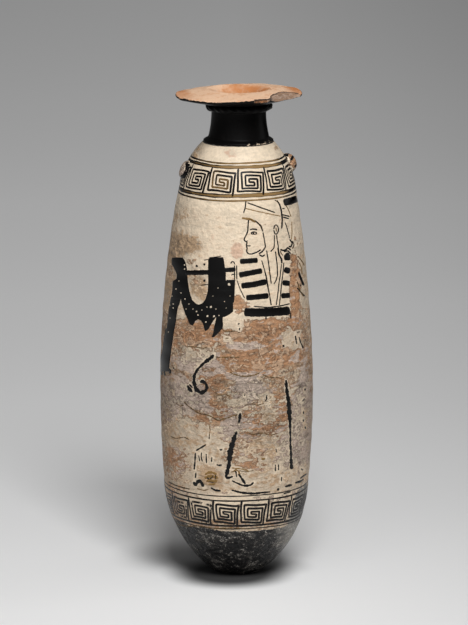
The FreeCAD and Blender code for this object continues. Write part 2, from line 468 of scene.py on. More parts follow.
class Shader:
    """A material under construction. Positions are in millimetres of the object."""

    def __init__(self, name):
        self.material = bpy.data.materials.new(name)
        self.material.use_nodes = True
        self.tree = self.material.node_tree
        self.tree.nodes.clear()
        place = self.node("ShaderNodeTexCoord", output="Object")
        self.mm = self.vector("SCALE", {0: place, 3: PER_METRE})

    def node(self, kind, settings=None, sockets=None, output=0):
        """Adds a node, sets its settings and then its sockets, and gives one output."""
        node = self.tree.nodes.new(kind)
        for key, value in (settings or {}).items():
            setattr(node, key, value)
        for key, value in (sockets or {}).items():
            if isinstance(value, Wire):
                self.tree.links.new(value.socket, node.inputs[key])
            else:
                node.inputs[key].default_value = value
        return Wire(self, node.outputs[output])

    def vector(self, operation, sockets, output="Vector"):
        return self.node("ShaderNodeVectorMath", {"operation": operation}, sockets, output)

    def attributes(self, *names):
        """The values that the mesh holds under these names."""
        kind = "ShaderNodeAttribute"
        return [self.node(kind, {"attribute_name": name}, output="Fac") for name in names]

    def noise(self, size, detail=4.0, roughness=0.55, squash=1.0, twist=0.0):
        """Noise from -0.5 to 0.5 whose lumps are about size millimetres, squashed along the
        height where it runs in streaks."""
        place = self.mm
        if squash != 1.0:
            place = self.vector("MULTIPLY", {0: place, 1: (1.0, 1.0, squash)})
        sockets = {
            "Vector": place,
            "Scale": 1.0 / size,
            "Detail": detail,
            "Roughness": roughness,
            "Distortion": twist,
        }
        wave = self.node("ShaderNodeTexNoise", {"noise_dimensions": "3D"}, sockets, "Fac")
        return wave - 0.5

    def cells(self, size):
        """Distance from the middles of random cells about size millimetres across."""
        settings = {"voronoi_dimensions": "3D", "feature": "F1"}
        sockets = {"Vector": self.mm, "Scale": 1.0 / size}
        return self.node("ShaderNodeTexVoronoi", settings, sockets, "Distance")

    def ease(self, value, low, high):
        """0 below low, 1 above high, and a smooth step between."""
        sockets = {"Value": value, "From Min": low, "From Max": high}
        return self.node("ShaderNodeMapRange", {"interpolation_type": "SMOOTHSTEP"}, sockets)

    def line(self, value, at, half):
        """1 along the places where a value passes a level."""
        return 1 - self.ease((value - at).size(), 0.0, half)

    def coats(self, tint, *coats):
        """A colour with coats over it, each given as its share and its colour."""
        settings = {"data_type": "RGBA", "blend_type": "MIX", "clamp_factor": True}
        for share, over in coats:
            tint = self.node("ShaderNodeMix", settings, {0: share, 6: tint, 7: over}, 2)
        return tint

    def bright(self, tint, factor):
        """A colour times a number that varies."""
        if not isinstance(tint, Wire):
            tint = tuple(tint)[:3]
        return self.vector("SCALE", {0: tint, 3: factor})

    def bump(self, height, strength):
        """Relief from a height in millimetres."""
        sockets = {"Height": height, "Distance": MM, "Strength": strength}
        return self.node("ShaderNodeBump", {}, sockets)

    def finish(self, **sockets):
        """Ends the material in a Principled BSDF. A socket's name has _ for its spaces."""
        named = {key.replace("_", " "): value for key, value in sockets.items()}
        surface = self.node("ShaderNodeBsdfPrincipled", {}, named)
        end = self.tree.nodes.new("ShaderNodeOutputMaterial")
        self.tree.links.new(surface.socket, end.inputs["Surface"])
        return self.material


# Finishes


def slip_over_clay(colours):
    """Cream slip flaked off brown and orange clay, with a grey film on the clay, and worn
    black glaze round the base. The mesh's attributes say where, noise breaks their edges
    up, and each flake gets a painted highlight along its raised edge and painted shadow at
    its foot. Also painted: shadow in the creases between flakes, relief shading along the
    worm-like crust, shade over the body's sides, and a grey sheen down its right edge and
    on the base glaze there."""
    sh = Shader("slip_over_clay")
    wear, rust, film, stain = sh.attributes("wear", "rust", "film", "stain")
    rose, glaze, crust = sh.attributes("rose", "glaze", "crust")
    wide = sh.noise(15.0, 3.0, 0.55)
    patch = sh.noise(5.0, 4.0, 0.52)
    streak = sh.noise(5.5, 4.0, 0.52, squash=3.0)
    mottle = sh.noise(2.0, 2.5, 0.52, squash=1.6)
    fine = sh.noise(0.9, 2.0, 0.5)
    grain = sh.noise(0.4, 2.0, 0.5)

    edge = wear + patch * 1.1 + streak * 0.9 + mottle + fine * 0.4
    bare = sh.ease(edge, 0.46, 0.54)
    # Painted highlight just inside a flake's raised edge, and painted shadow at its foot.
    edge_highlight = sh.ease(edge, 0.36, 0.44) * (1 - sh.ease(edge, 0.46, 0.49))
    shade = sh.ease(edge, 0.49, 0.53) * (1 - sh.ease(edge, 0.55, 0.64))
    rusty = sh.ease(rust + patch * 1.2 + streak * 1.6 + mottle * 0.6, 0.34, 0.48)
    misty = sh.ease(film + streak * 1.5 - patch + mottle * 0.6, 0.36, 0.48)
    milk = patch * 1.3 + mottle * 0.7 + fine * 0.4 - streak * 0.6 + wide * 0.8
    pale = sh.ease(milk, 0.11, 0.14)
    murk = streak * 1.6 + mottle * 0.7 + fine * 0.4 + patch * 0.5
    # Dark lines where flakes meet are grooves with painted shadow in them, and the light lines
    # beside them are painted highlights.
    crease_shadow_lines = sh.line(milk, 0.095, 0.022).highest(sh.line(murk, 0.15, 0.02) * 0.6)
    edge_highlight_lines = sh.line(milk, 0.135, 0.022).highest(sh.line(murk, 0.19, 0.022) * 0.6)
    clay = sh.coats(
        colours.clay,
        (rusty, colours.rust),
        (misty * 0.85, colours.film),
        (pale * (0.5 - rusty * 0.27), colours.slip),
        (sh.ease(murk, 0.14, 0.3) * 0.3, colours.umber),
        # Umber over the bare clay where stains are heavy, and as painted shade on the body's sides.
        (sh.ease(stain + mottle * 0.8, 0.8, 1.5) * 0.4, colours.umber),
        (crease_shadow_lines * 0.5, colours.umber),
        (edge_highlight_lines * 0.45, colours.slip),
        # Painted shadow at the foot of each flake.
        (shade * 0.5, colours.umber),
    )

    # Stains, and painted shade on the body's sides, darken the slip.
    stained_and_shaded = stain + wide * 0.7 + mottle * 1.1 + streak * 0.8 + fine * 0.5
    rosy = sh.ease(rose + fine * 0.6 + mottle * 1.2 + patch * 0.5, 0.28, 0.62)
    grime_and_shade = stain * 0.75 + streak + mottle * 1.1 + fine * 0.4
    pits = sh.ease(sh.cells(1.7), 0.13, 0.06) * sh.ease(patch + wear * 0.5, 0.04, 0.22)
    slip = sh.coats(
        colours.slip,
        (sh.ease(stained_and_shaded, 0.15, 0.9), colours.slip_stained),
        (rosy * 0.85, colours.slip_rose),
        (sh.ease(grime_and_shade, 0.54, 0.72) * 0.75, colours.earth),
        (sh.line(grime_and_shade, 0.54, 0.05) * stain * 0.4, colours.umber),
        (pits * 0.7, colours.umber),
        # Painted highlight on the slip at each flake's edge.
        (edge_highlight * 0.5, colours.slip),
    )

    worm = sh.line(sh.noise(3.4, 2.0, 0.6, squash=1.6, twist=1.4), 0.0, 0.07)
    crater = crater_rings(sh)
    rubbed = bare.highest(stain * 0.7)
    # Brightness of the ground: random tone, painted relief shading along the worm-like crust, and
    # brighter crater rims.
    light = 1.0 + fine * 0.35 + grain * 0.25 + streak * 0.4 + mottle * 0.3 + wide * 0.35
    light = light + (fine * 0.4 + grain * 0.4 + mottle * 0.7 + streak * 1.6) * rubbed
    light = light + (worm - 0.25) * crust * 0.5 + crater * 0.35 + rubbed * 0.1
    ground = sh.bright(sh.coats(slip, (bare, clay)), light)

    coat = sh.ease(glaze + patch * 0.4 + mottle * 0.5 + fine * 0.4, 0.46, 0.53)
    scuffed = sh.ease(mottle * 1.2 + fine * 0.9 + streak * 0.6 + patch * 0.6, -0.04, 0.24)
    flecks = sh.noise(0.6, 3.0, 0.6, squash=1.3) + patch * 0.35 + mottle * 0.5 + film * 0.07
    flecks = sh.ease(flecks, 0.125, 0.19)
    # Chalky dust on the base glaze, and a painted grey sheen where the film is heavy at its right.
    dust_and_sheen = sh.ease(film * 0.5 + patch * 0.8 + mottle * 0.5, 0.1, 0.6)
    scratch = sh.line(sh.noise(1.3, 1.0, 0.5, squash=0.12, twist=0.8), 0.0, 0.012)
    scratch = scratch * sh.ease(patch + mottle, 0.02, 0.12)
    black = sh.coats(
        colours.glaze,
        (scuffed * 0.9, colours.worn_glaze),
        (dust_and_sheen * 0.42, colours.chalk),
        (flecks * 0.62, colours.chalk),
        (scratch * 0.5, colours.chalk),
    )

    relief = (sh.ease(edge, 0.47, 0.50) + sh.ease(edge, 0.72, 0.75)) * -0.2
    relief = relief - crease_shadow_lines * bare * 0.15 + coat * 0.05 + pale * bare * 0.14
    relief = relief + patch * (0.45 + 1.1 * rubbed) + mottle * (0.2 + 0.9 * rubbed)
    relief = relief + fine * (0.08 + 0.22 * rubbed) + grain * (0.05 + 0.05 * rubbed)
    relief = relief - pits * 0.1 + worm * crust * 0.7 + crater * 0.4
    relief = relief - (flecks + scratch) * coat * 0.12 + mottle * coat * 0.4
    return sh.finish(
        Base_Color=sh.coats(ground, (coat, black)),
        Roughness=0.5 + bare * 0.16 - coat * 0.14 + scuffed * coat * 0.22 + fine * 0.2,
        Specular_IOR_Level=0.35,
        Normal=sh.bump(relief, 1.0),
    )


def crater_rings(sh):
    """1 on the rims of the craters: rings at fixed distances from places on the wall."""
    wall = the_wall()
    total = 0.0
    for x, y, radius in CRATERS:
        middle = tuple(wall.point(*wall.from_pixel(x, y)))
        away = sh.vector("DISTANCE", {0: sh.mm, 1: middle}, "Value")
        total = total + sh.line(away, radius, 0.5)
    return total


def glaze_and_pale_clay(colours):
    """Black glaze on the neck, ring and underside, pale clay on the plate's top, orange
    clay inside the mouth deepened by painted shade towards the bore and the camera's right,
    and rough broken clay where the edge is lost, with painted shadow along the top of the break."""
    sh = Shader("glaze_and_pale_clay")
    top, funnel, broken = sh.attributes("top", "funnel", "broken")
    foot, warm, brink = sh.attributes("foot", "warm", "brink")
    patch = sh.noise(5.0, 5.0, 0.6)
    fine = sh.noise(1.2, 5.0, 0.62)
    grain = sh.noise(0.35, 3.0, 0.6)
    wide = sh.noise(13.0, 3.0, 0.5)
    layer = sh.noise(2.2, 4.0, 0.6, squash=5.0)

    worn = sh.ease(foot * 0.62 + fine * 1.2 + patch * 0.9, 0.62, 0.7)
    black = sh.coats(
        colours.glaze,
        (sh.ease(fine + patch, 0.1, 0.5) * 0.25, colours.worn_glaze),
        (worn, colours.slip_stained),
    )
    spots = sh.ease(sh.cells(3.1), 0.1, 0.05) * sh.ease(patch, 0.0, 0.15)
    clay = sh.coats(
        colours.plate,
        (sh.ease(warm + wide * 0.9 + fine * 0.35, 0.3, 0.8), colours.funnel),
        # Painted shade in the hollow over orange clay.
        (sh.ease(funnel + patch + fine * 0.5, 0.15, 0.95), colours.funnel),
        (sh.ease(patch * 1.3 + fine * 0.9, 0.06, 0.2) * 0.4, colours.funnel),
        (sh.ease(patch * -1.2 + fine * 1.1, 0.1, 0.22) * 0.4, colours.slip_rose),
        (spots * 0.6, colours.umber),
    )
    clay = sh.bright(clay, 1.0 + fine * 0.22 + grain * 0.2)
    ruddy = (sh.ease(fine + layer, 0.0, 0.2) * 0.6, colours.funnel)
    chip = sh.coats(
        colours.fracture,
        (sh.ease(layer + fine * 0.5, -0.05, 0.2) * 0.5, colours.film),
        (sh.ease(broken, 1.35, 1.75), sh.coats(colours.umber, ruddy)),
    )
    chip = sh.bright(chip, 1.0 + layer * 0.5 + fine * 0.4 + grain * 0.4)
    shown = sh.ease(top + fine * 0.9 + patch * 0.6, 0.64, 0.78)
    skin = sh.coats(
        black,
        (shown, clay),
        (sh.ease(broken, 0.45, 0.7), chip),
        # Painted shadow along the top of the break.
        (brink * 0.8, colours.worn_glaze),
    )

    relief = patch * 0.08 + fine * 0.05 + grain * 0.025 - spots * 0.05 + shown * 0.02
    relief = relief + sh.ease(broken, 0.3, 0.6) * (fine * 0.25 + grain * 0.1 + layer * 0.2)
    return sh.finish(
        Base_Color=skin,
        Roughness=0.4 + shown * 0.25 + worn * 0.2 + fine * 0.12,
        Specular_IOR_Level=0.07,
        Normal=sh.bump(relief, 0.8),
    )


def brushed_glaze(colours):
    """Black glaze laid with a brush. Where the tone attribute is high it is a golden dilute
    glaze, and the loss attribute rubs it away in specks."""
    sh = Shader("brushed_glaze")
    tone, loss = sh.attributes("tone", "loss")
    patch = sh.noise(2.6, 4.0, 0.6)
    fine = sh.noise(0.55, 4.0, 0.65)
    streak = sh.noise(1.4, 4.0, 0.6, squash=2.5)
    golden = sh.ease(tone + patch * 0.5 + fine * 0.3, 0.3, 0.72)
    gone = sh.ease(loss + patch * 0.9 + fine * 0.7 + streak * 0.4, 0.5, 0.64)
    paint = sh.coats(
        colours.glaze,
        (golden, colours.dilute),
        (sh.ease(fine + patch * 0.5, 0.16, 0.4) * 0.4, colours.worn_glaze),
    )
    return sh.finish(
        Base_Color=paint,
        Roughness=0.32 + golden * 0.2 + fine * 0.2,
        Specular_IOR_Level=0.2,
        Alpha=(1 - gone) * (1 - golden * 0.25),
        Normal=sh.bump(patch * 0.04 + fine * 0.03, 0.7),
    )


def cream_paint(colours):
    """Matt cream paint for the dots on the glaze."""
    sh = Shader("cream_paint")
    fine = sh.noise(0.6, 3.0, 0.6)
    paint = sh.bright(colours.dots, 1.0 + fine * 0.4)
    return sh.finish(Base_Color=paint, Roughness=0.6, Normal=sh.bump(fine * 0.04, 0.6))


def finish_of(maker):
    """One material of each kind, made once and named like its maker."""
    found = bpy.data.materials.get(maker.__name__)
    return found or maker(bpy.context.scene.alabastron_colours)


# Wear of the body, as soft spots on the picture: middle, radii and amount

SLIP_SPOTS = (
    (180, 432, 26, 12, -0.45), (196, 452, 24, 20, -0.4), (212, 446, 12, 18, -0.35),
    (213, 476, 18, 14, -0.45), (244, 481, 38, 9, -0.35), (266, 402, 6, 9, -0.45),
    (258, 450, 24, 14, -0.25), (292, 340, 9, 11, -0.65), (228, 342, 8, 4, -0.4),
    (239, 327, 7, 8, -0.4), (303, 415, 9, 30, -0.12), (276, 470, 24, 14, -0.2),
    (198, 356, 12, 8, -0.12), (238, 251, 5.5, 8, 0.1), (268, 410, 9, 15, -0.4),
    (182, 440, 16, 16, -0.25), (194, 352, 9, 8, -0.3), (250, 344, 26, 12, 0.22),
    (238, 404, 10, 8, -0.3), (262, 444, 18, 10, -0.25), (304, 374, 7, 26, 0.25),
    (274, 356, 20, 13, 0.25), (294.5, 283, 5.5, 42, 1), (266, 323, 24, 6, 0.5),
    (262, 356, 34, 12, 0.3), (296, 362, 10, 8, 0.3), (236, 376, 20, 9, 0.25),
    (246, 304, 10, 6, 0.5), (237, 302, 6, 14, 0.62), (196, 281, 6, 11, 0.55), (204, 298, 4, 5, 0.3),
    (190, 262, 8, 4, 0.5), (172, 272, 5, 8, 0.6), (302, 300, 7, 30, 0.25), (170, 505, 8, 26, 0.35),
    (240, 522, 70, 5, 0.3), (190, 327, 24, 12, 0.35), (176, 455, 12, 20, 0.35),
)
RUST_SPOTS = (
    (262, 330, 30, 14, 0.75), (235, 320, 14, 26, 0.6), (206, 334, 34, 9, 0.45),
    (196, 384, 20, 10, 0.3), (294, 280, 8, 50, 0.9), (262, 352, 34, 12, 0.35),
    (240, 366, 46, 11, 0.7), (205, 412, 30, 9, 0.65), (262, 425, 26, 16, 0.6),
    (294, 356, 12, 7, 0.7), (276, 404, 12, 12, 0.45), (262, 459, 12, 7, 0.6), (272, 444, 8, 6, 0.5),
    (244, 472, 26, 5, 0.6), (176, 461, 12, 18, 0.45), (192, 336, 28, 14, 0.45),
    (212, 374, 16, 12, 0.45),
)
# Grey film, and a painted grey sheen down the body's right edge and on the base glaze at the right
FILM_AND_SHEEN_SPOTS = (
    (184, 400, 26, 17, 0.65), (200, 362, 22, 12, 0.45), (248, 388, 20, 14, 0.5),
    (233, 424, 12, 14, 0.5), (288, 456, 18, 20, 0.5), (303, 430, 10, 60, 0.9),
    (246, 346, 22, 4, 0.45), (272, 490, 44, 14, 0.35), (238, 502, 70, 14, 0.3),
    (294, 532, 16, 26, 0.9), (180, 380, 16, 22, 0.25),
)
# Stains, with painted shade along the body's left and right edges and painted light (the negative
# amount) over the front of the shoulder.
STAIN_AND_SHADE_SPOTS = (
    (182, 245, 19, 10, 1), (170, 250, 10, 16, 0.5), (190, 215, 26, 10, 0.1),
    (180, 510, 14, 14, 0.25), (168, 300, 8, 40, 0.4), (204, 292, 6, 12, 0.35),
    (303, 290, 8, 60, 0.35), (276, 148, 3, 3, 0.9), (248, 149, 40, 12, -0.14),
    (170, 268, 8, 20, 0.3), (196, 152, 9, 10, 0.45), (212, 478, 9, 7, 1.1), (196, 284, 9, 16, 0.6),
    (236, 504, 60, 12, -0.45), (262, 452, 28, 18, 0.15), (167, 396, 8, 34, 0.6),
    (308, 400, 6, 60, 0.4),
)
GLAZE_SPOTS = (
    (303, 508, 13, 28, 0.75), (298, 522, 12, 12, 0.35), (176, 528, 12, 6, 0.25),
    (208, 527, 12, 5, 0.25), (228, 521.6, 58, 4, 0.4), (308, 470, 5, 26, 0.22),
)
CRUST_SPOTS = (
    (240, 385, 40, 22, 0.9), (222, 400, 30, 20, 0.6), (262, 425, 28, 18, 0.9),
    (204, 412, 30, 9, 0.6), (196, 334, 22, 12, 0.4), (262, 335, 20, 10, 0.3),
)
ROSE_SPOTS = (
    (237, 251, 6, 8, 1.3), (231, 153, 8, 5, 0.6), (214, 240, 9, 16, 0.2),
)
# Craters left where bubbles burst: middle in pixels and radius in millimetres
CRATERS = ((189.0, 339.0, 2.5), (273.0, 358.0, 1.7), (273.0, 358.0, 0.5), (255.0, 385.0, 2.0))


def ease_step(value, low, high):
    share = np.clip((value - low) / (high - low), 0, 1)
    return share * share * (3 - 2 * share)


def soft_spots(x, y, marks):
    """Sum over the spots of amount * exp(-d^3), where d is the distance from the middle
    with each direction over its own radius."""
    total = np.zeros_like(x)
    for middle_x, middle_y, radius_x, radius_y, height in marks:
        away = ((x - middle_x) / radius_x) ** 2 + ((y - middle_y) / radius_y) ** 2
        total += height * np.exp(-(away**1.5))
    return total


def wear_of(wall, azimuth, height, points):
    """Attributes of the body at its points. The side away from the camera gets the picture's
    spots mirrored, so that its wear is like that of the front."""
    x, y = wall.to_pixel(points)
    away = np.stack([points[..., 0], -points[..., 1], points[..., 2]], axis=-1)
    far_x, far_y = wall.to_pixel(away)
    turn = np.radians(azimuth) - wall.stage.azimuth
    front = ease_step(np.cos(turn), -0.05, 0.2)

    def both(marks):
        near = soft_spots(x, y, marks)
        return near * front + soft_spots(far_x, far_y, marks) * (1 - front)

    low = 1 - ease_step(height, 88.0, 95.0)
    foot = 1 - ease_step(height, 34.0, 44.0)
    halo = stroke_halo(x, y) * front * low
    wear = 0.02 + 0.66 * low - 0.34 * foot + both(SLIP_SPOTS) - 0.35 * halo
    rust = 0.12 + 0.1 * low + both(RUST_SPOTS)
    film = 0.1 + 0.12 * low + both(FILM_AND_SHEEN_SPOTS)
    stain = 0.12 + 0.36 * low + both(STAIN_AND_SHADE_SPOTS) - 0.3 * halo
    # Painted shade: more stain towards the camera's left, the side turned from the lamps.
    stain += 0.2 * ease_step(-np.sin(turn), 0.6, 0.95)
    stain += 0.3 * (1 - ease_step(height, 126.0, 132.0))
    lug_glaze = np.zeros_like(wear)
    for middle, level, _ in LUGS:
        across = wrapped(azimuth - middle)
        away = np.hypot(across / 13.0, (height - level) / 3.2)
        knob = 1 - ease_step(away, 0.75, 1.05)
        wear += 0.8 * knob
        rust += (0.25 + 0.35 * np.sign(middle)) * knob
        film += (0.3 - 0.3 * np.sign(middle)) * knob
        stain += 0.4 * knob
        lug_glaze = lug_glaze + (0.22 + 0.18 * np.sign(middle)) * knob
    glaze = 1 - ease_step(height, 17.2, 20.4) + both(GLAZE_SPOTS)
    glaze = np.maximum(glaze, ease_step(height, 148.2, 148.7)) + lug_glaze
    return {
        "wear": wear,
        "rust": rust,
        "film": film,
        "stain": stain,
        "rose": both(ROSE_SPOTS),
        "crust": 0.12 * low + both(CRUST_SPOTS),
        "glaze": glaze,
    }


# Pixels from a stroke to where the slip it kept is worn again
HALO_REACH = 2.2


def stroke_halo(x, y):
    """1 at the strokes of the worn lower picture, falling to 0 within a few pixels: slip is
    kept where glaze lay on it."""
    nearest = np.full(x.shape, np.inf)
    for stroke in LOWER_STROKES:
        line = softened(stroke[-1], 1.5, 0.8)
        for spot in line:
            nearest = np.minimum(nearest, (x - spot[0]) ** 2 + (y - spot[1]) ** 2)
    return np.exp(-((nearest / HALO_REACH**2) ** 2))


# Body and mouth


BODY_COLUMNS = 440
MOUTH_COLUMNS = 440
MOUTH_MIDDLE = 20.0
CROWDING = 0.35

# The hollow: the stretches of the wall whose upper ends it follows down, with its points in
# each, then the turns of its round bottom as shares of a right angle
HOLLOW_RUNS = ((3, 3), (2, 4), (1, 1))
BOWL_TURNS = (0.3, 0.6, 0.85)

# Millimetres between the body's and the mouth's surfaces where they meet inside the clay
SKIN_GAP = 0.2


def columns(count, middle):
    """Azimuths of a ring's points, closer together towards the middle azimuth."""
    turn = np.linspace(-math.pi, math.pi, count, endpoint=False)
    return middle + np.degrees(turn - CROWDING * np.sin(turn))


def make_body(wall, finish):
    """The body as one closed surface: the wall from the flat to the ridge, a ring through
    the clay, and the hollow from the bore down to its floor, with a pole at each end."""
    sizes = wall.sizes
    stretches = (sizes.heel, sizes.flank, sizes.belly, sizes.wall, sizes.shoulder)
    table = np.array([tuple(stretch) for stretch in stretches]) * PER_METRE
    radii, rises, bulges = table.T
    tops = np.cumsum(rises)
    clay, shoulder_clay = sizes.wall_thickness * PER_METRE, sizes.shoulder_thickness * PER_METRE
    bore, floor = sizes.bore_radius * PER_METRE, sizes.floor_thickness * PER_METRE
    inside = [np.array([[bore + SKIN_GAP, wall.top], [bore, wall.top - shoulder_clay]])]
    for index, count in HOLLOW_RUNS:
        end = (radii[index] - clay, tops[index])
        inside.append(bowed(inside[-1][-1], end, bulges[index + 1], count, -1))
    wide, high = inside[-1][-1]
    turn = np.array(BOWL_TURNS) * math.pi / 2
    inside.append(np.stack([wide * np.cos(turn), high - (high - floor) * np.sin(turn)], axis=1))
    inside = np.concatenate(inside)

    azimuth = columns(BODY_COLUMNS, math.degrees(wall.stage.azimuth))[None, :]
    shell = wall.point(azimuth, wall.line[:, 1:])
    hollow = wall.place(azimuth, inside[:, :1], inside[:, 1:]) + wall.lean(inside[:, 1:])
    rows = np.concatenate([shell, hollow])
    heights = np.concatenate([wall.line, inside])[:, 1:]
    attributes = wear_of(wall, azimuth, heights, rows)
    inner = np.arange(len(rows))[:, None] >= len(shell)
    attributes["wear"] = np.where(inner, 1.0, attributes["wear"])
    attributes["glaze"] = np.where(inner, 0.0, attributes["glaze"])
    poles = np.array([[0.0, 0.0, 0.0], [0.0, 0.0, floor]])
    poles = poles + wall.lean(poles[:, 2])
    last = len(rows) * BODY_COLUMNS
    faces = [
        grid_faces(len(rows), BODY_COLUMNS),
        fan_faces(0, BODY_COLUMNS, last, False),
        fan_faces(last - BODY_COLUMNS, BODY_COLUMNS, last + 1, True),
    ]
    values = {
        key: np.concatenate([value.ravel(), [value[0].mean(), value[-1].mean()]])
        for key, value in attributes.items()
    }
    points = np.concatenate([rows.reshape(-1, 3), poles])
    return make_piece("vessel_body", points, faces, finish, values)


# The lost edge of the plate: azimuth, depth of the loss from the plate's edge at the level
# of the mouth's top, and how far its face moves out for each millimetre down
BREAK_LINE = (
    (1.5, -1.5, 0.23), (3, 0, 0.23), (5, 1.05, 0.23), (10, 1.3, 0.23), (16.5, 1, 0.23),
    (20, 2.6, 1.9), (27, 4.6, 1.9), (36, 5.8, 1.9), (51, 6.5, 1.9), (62, 6.3, 1.9), (69, 3.6, 1.9),
    (73, 0.4, 1.9), (75, -2, 1.9),
)

# Azimuth up to which the break is a fresh nick
NICK_END = 17.0

# Unevenness of the mouth plate: how much higher its front was left than its back, its slope
# up to the right, and how far it has sunk
FRONT_RISE = 0.6
PLATE_TILT = 0.021
PLATE_DROOP = 0.45


def make_mouth(wall, finish):
    """Neck, ring and mouth plate as one closed ring of rows: from the bore out to the ridge,
    up the neck, round the ring, out under the plate, over its edge, down into the bore."""
    sizes = wall.sizes

    def mm(name):
        return getattr(sizes, name) * PER_METRE

    neck_radius, neck_rise, neck_hollow = np.array(sizes.neck) * PER_METRE
    ridge_z = wall.top
    foot_z = ridge_z + mm("ridge_rise") + mm("ridge_slope")
    ring_z = foot_z + neck_rise
    ring_top = ring_z + mm("ring_thickness")
    rim_z = ring_top + mm("plate_rise")
    rim_top = rim_z + mm("rim_thickness")
    mouth_z = rim_top + mm("mouth_rise")
    ridge = sizes.shoulder[0] * PER_METRE
    ring_edge = mm("ring_radius") - mm("ring_thickness") / 2
    rim_edge = mm("plate_radius") - mm("rim_thickness") / 2
    bore, roll = mm("bore_radius"), mm("mouth_roll")
    line = [np.array([[bore, ridge_z - 0.1]])]

    def run(radius, height, count, bulge=0.0, side=1):
        line.append(bowed(line[-1][-1], (radius, height), bulge, count, side))

    run(ridge - 0.1, ridge_z - 0.1, 3)
    run(ridge, ridge_z + 0.1, 2)
    run(ridge - 0.05, ridge_z + mm("ridge_rise"), 3)
    run(mm("neck_foot_radius"), foot_z, 5)
    run(neck_radius, ring_z, 26, neck_hollow, -1)
    run(ring_edge, ring_z, 4)
    line.append(half_round(line[-1][-1], (ring_edge, ring_top), 12))
    run(mm("plate_root"), ring_top, 3)
    run(rim_edge, rim_z, 36)
    rim_row = sum(len(part) for part in line)
    line.append(half_round(line[-1][-1], (rim_edge, rim_top), 12))
    run(bore + roll, mouth_z, 40, mm("mouth_crown"))
    turn = np.linspace(0, math.pi / 2, 19)[1:]
    inward, down = roll * np.sin(turn), roll * np.cos(turn) - roll
    line.append(np.stack([bore + roll - inward, mouth_z + down], axis=1))
    run(bore, ridge_z + SKIN_GAP, 6)
    line = np.concatenate(line)

    azimuth = columns(MOUTH_COLUMNS, MOUTH_MIDDLE)[None, :]
    turn = np.radians(azimuth)
    seen = turn - wall.stage.azimuth
    radius = np.broadcast_to(line[:, :1], (len(line), MOUTH_COLUMNS))
    height = np.broadcast_to(line[:, 1:], radius.shape)
    plate = ease_step(radius, ring_edge, ring_edge + 3.0) * (height > ring_top)
    wave = 0.16 * np.sin(turn * 3 + 0.7) + 0.1 * np.sin(turn * 7 + 2.0)
    wave = wave + 0.05 * np.sin(turn * 17 + radius)
    height = height + plate * wave * (radius - ring_edge) / (rim_edge - ring_edge)
    height = height + plate * (PLATE_TILT * radius * np.sin(seen) - PLATE_DROOP)
    height = height + plate * FRONT_RISE * (1 + np.cos(seen)) / 2 * radius / rim_edge
    knobs = 0.2 * np.sin(turn * 9 + 1.0) + 0.12 * np.sin(turn * 23 + height * 3)
    on_ring = (radius > neck_radius + 0.8) & (height > ring_z - 0.1) & (height < ring_top)
    radius = radius + on_ring * knobs * (radius < mm("ring_radius") + 0.5)
    rim = ease_step(radius, rim_edge - 0.5, mm("plate_radius"))
    chips = 0.1 * np.sin(turn * 19 + 1.3 * np.sin(turn * 7)) ** 5
    chips = chips + 0.04 * np.sin(turn * 41 + height * 2.0)
    radius = radius - rim * np.abs(chips)

    marks = np.array(BREAK_LINE)
    about = wrapped(azimuth)
    depth = np.interp(about, marks[:, 0], marks[:, 1], left=-9.0, right=-9.0)
    slope = np.interp(about, marks[:, 0], marks[:, 2])
    rough = 0.12 * np.sin(turn * 19 + 0.9) + 0.07 * np.sin(turn * 47 + height * 0.8)
    limit = mm("plate_radius") - depth + slope * (mouth_z - height) + rough
    lost = (radius > limit) & (radius > ring_edge + 1.0)
    # Painted shadow just under the top edge of the break.
    brink = lost * np.exp(-(((radius - limit) / 1.5) ** 4)) * (height > rim_top)
    radius = np.where(lost, limit, radius)
    points = wall.place(azimuth, radius, height) + wall.lean(height)

    rightward = ease_step(points @ wall.right, -8.0, 5.0)
    after_rim = np.arange(len(line))[:, None] - rim_row
    top = np.clip(after_rim / 10.0, 0, 1) * ease_step(radius, bore - 0.1, bore + 0.6)
    deep = ease_step(bore + roll + 2.0 - radius, 0.0, 6.0)
    low = 1 - ease_step(height, ridge_z + 0.2, ridge_z + 2.0)
    values = {
        "top": top,
        # Painted shade in the hollow: the orange deepens towards the bore and the camera's right.
        "funnel": deep * top * (0.35 + 0.65 * rightward),
        "broken": lost * (1.0 + 0.8 * (about < NICK_END)),
        "brink": brink,
        "foot": (0.55 + 0.45 * rightward) * low,
        "warm": 0.1 + 0.5 * ease_step(radius, 13.0, 20.0) * np.abs(np.sin(seen)),
    }
    faces = [grid_faces(len(line), MOUTH_COLUMNS, wrap_rows=True)]
    values = {key: value.ravel() for key, value in values.items()}
    return make_piece("vessel_mouth", points.reshape(-1, 3), faces, finish, values)


# Brushwork


def distances(path):
    """How far along a path each of its points is."""
    return np.concatenate([[0], np.cumsum(np.hypot(*np.diff(path, axis=0).T))])


def sampled(path, known, wanted):
    """Points of a path at the wanted places, from the known places of its own points."""
    return np.stack([np.interp(wanted, known, path[:, i]) for i in (0, 1)], axis=1)


def softened(path, step, softness):
    """A path through points, as points a step apart: its coordinates are averaged along it
    with a bell-shaped weight of the given softness, and its ends stay."""
    path = np.array(path, float)
    reach = distances(path)
    fine = min(step, 0.25)
    count = max(int(reach[-1] / fine), 6)
    line = sampled(path, reach, np.linspace(0, reach[-1], count + 1))
    width = int(min(3 * softness / fine, count // 2))
    if width >= 1:
        bell = np.exp(-0.5 * (np.arange(-width, width + 1) * fine / softness) ** 2)
        bell /= bell.sum()
        before = 2 * line[0] - line[width:0:-1]
        after = 2 * line[-1] - line[-2 : -width - 2 : -1]
        padded = np.concatenate([before, line, after])
        line = np.stack([np.convolve(padded[:, i], bell, "valid") for i in (0, 1)], axis=1)
    wanted = max(int(reach[-1] / step), 4)
    return sampled(line, np.arange(len(line)), np.linspace(0, len(line) - 1, wanted + 1))


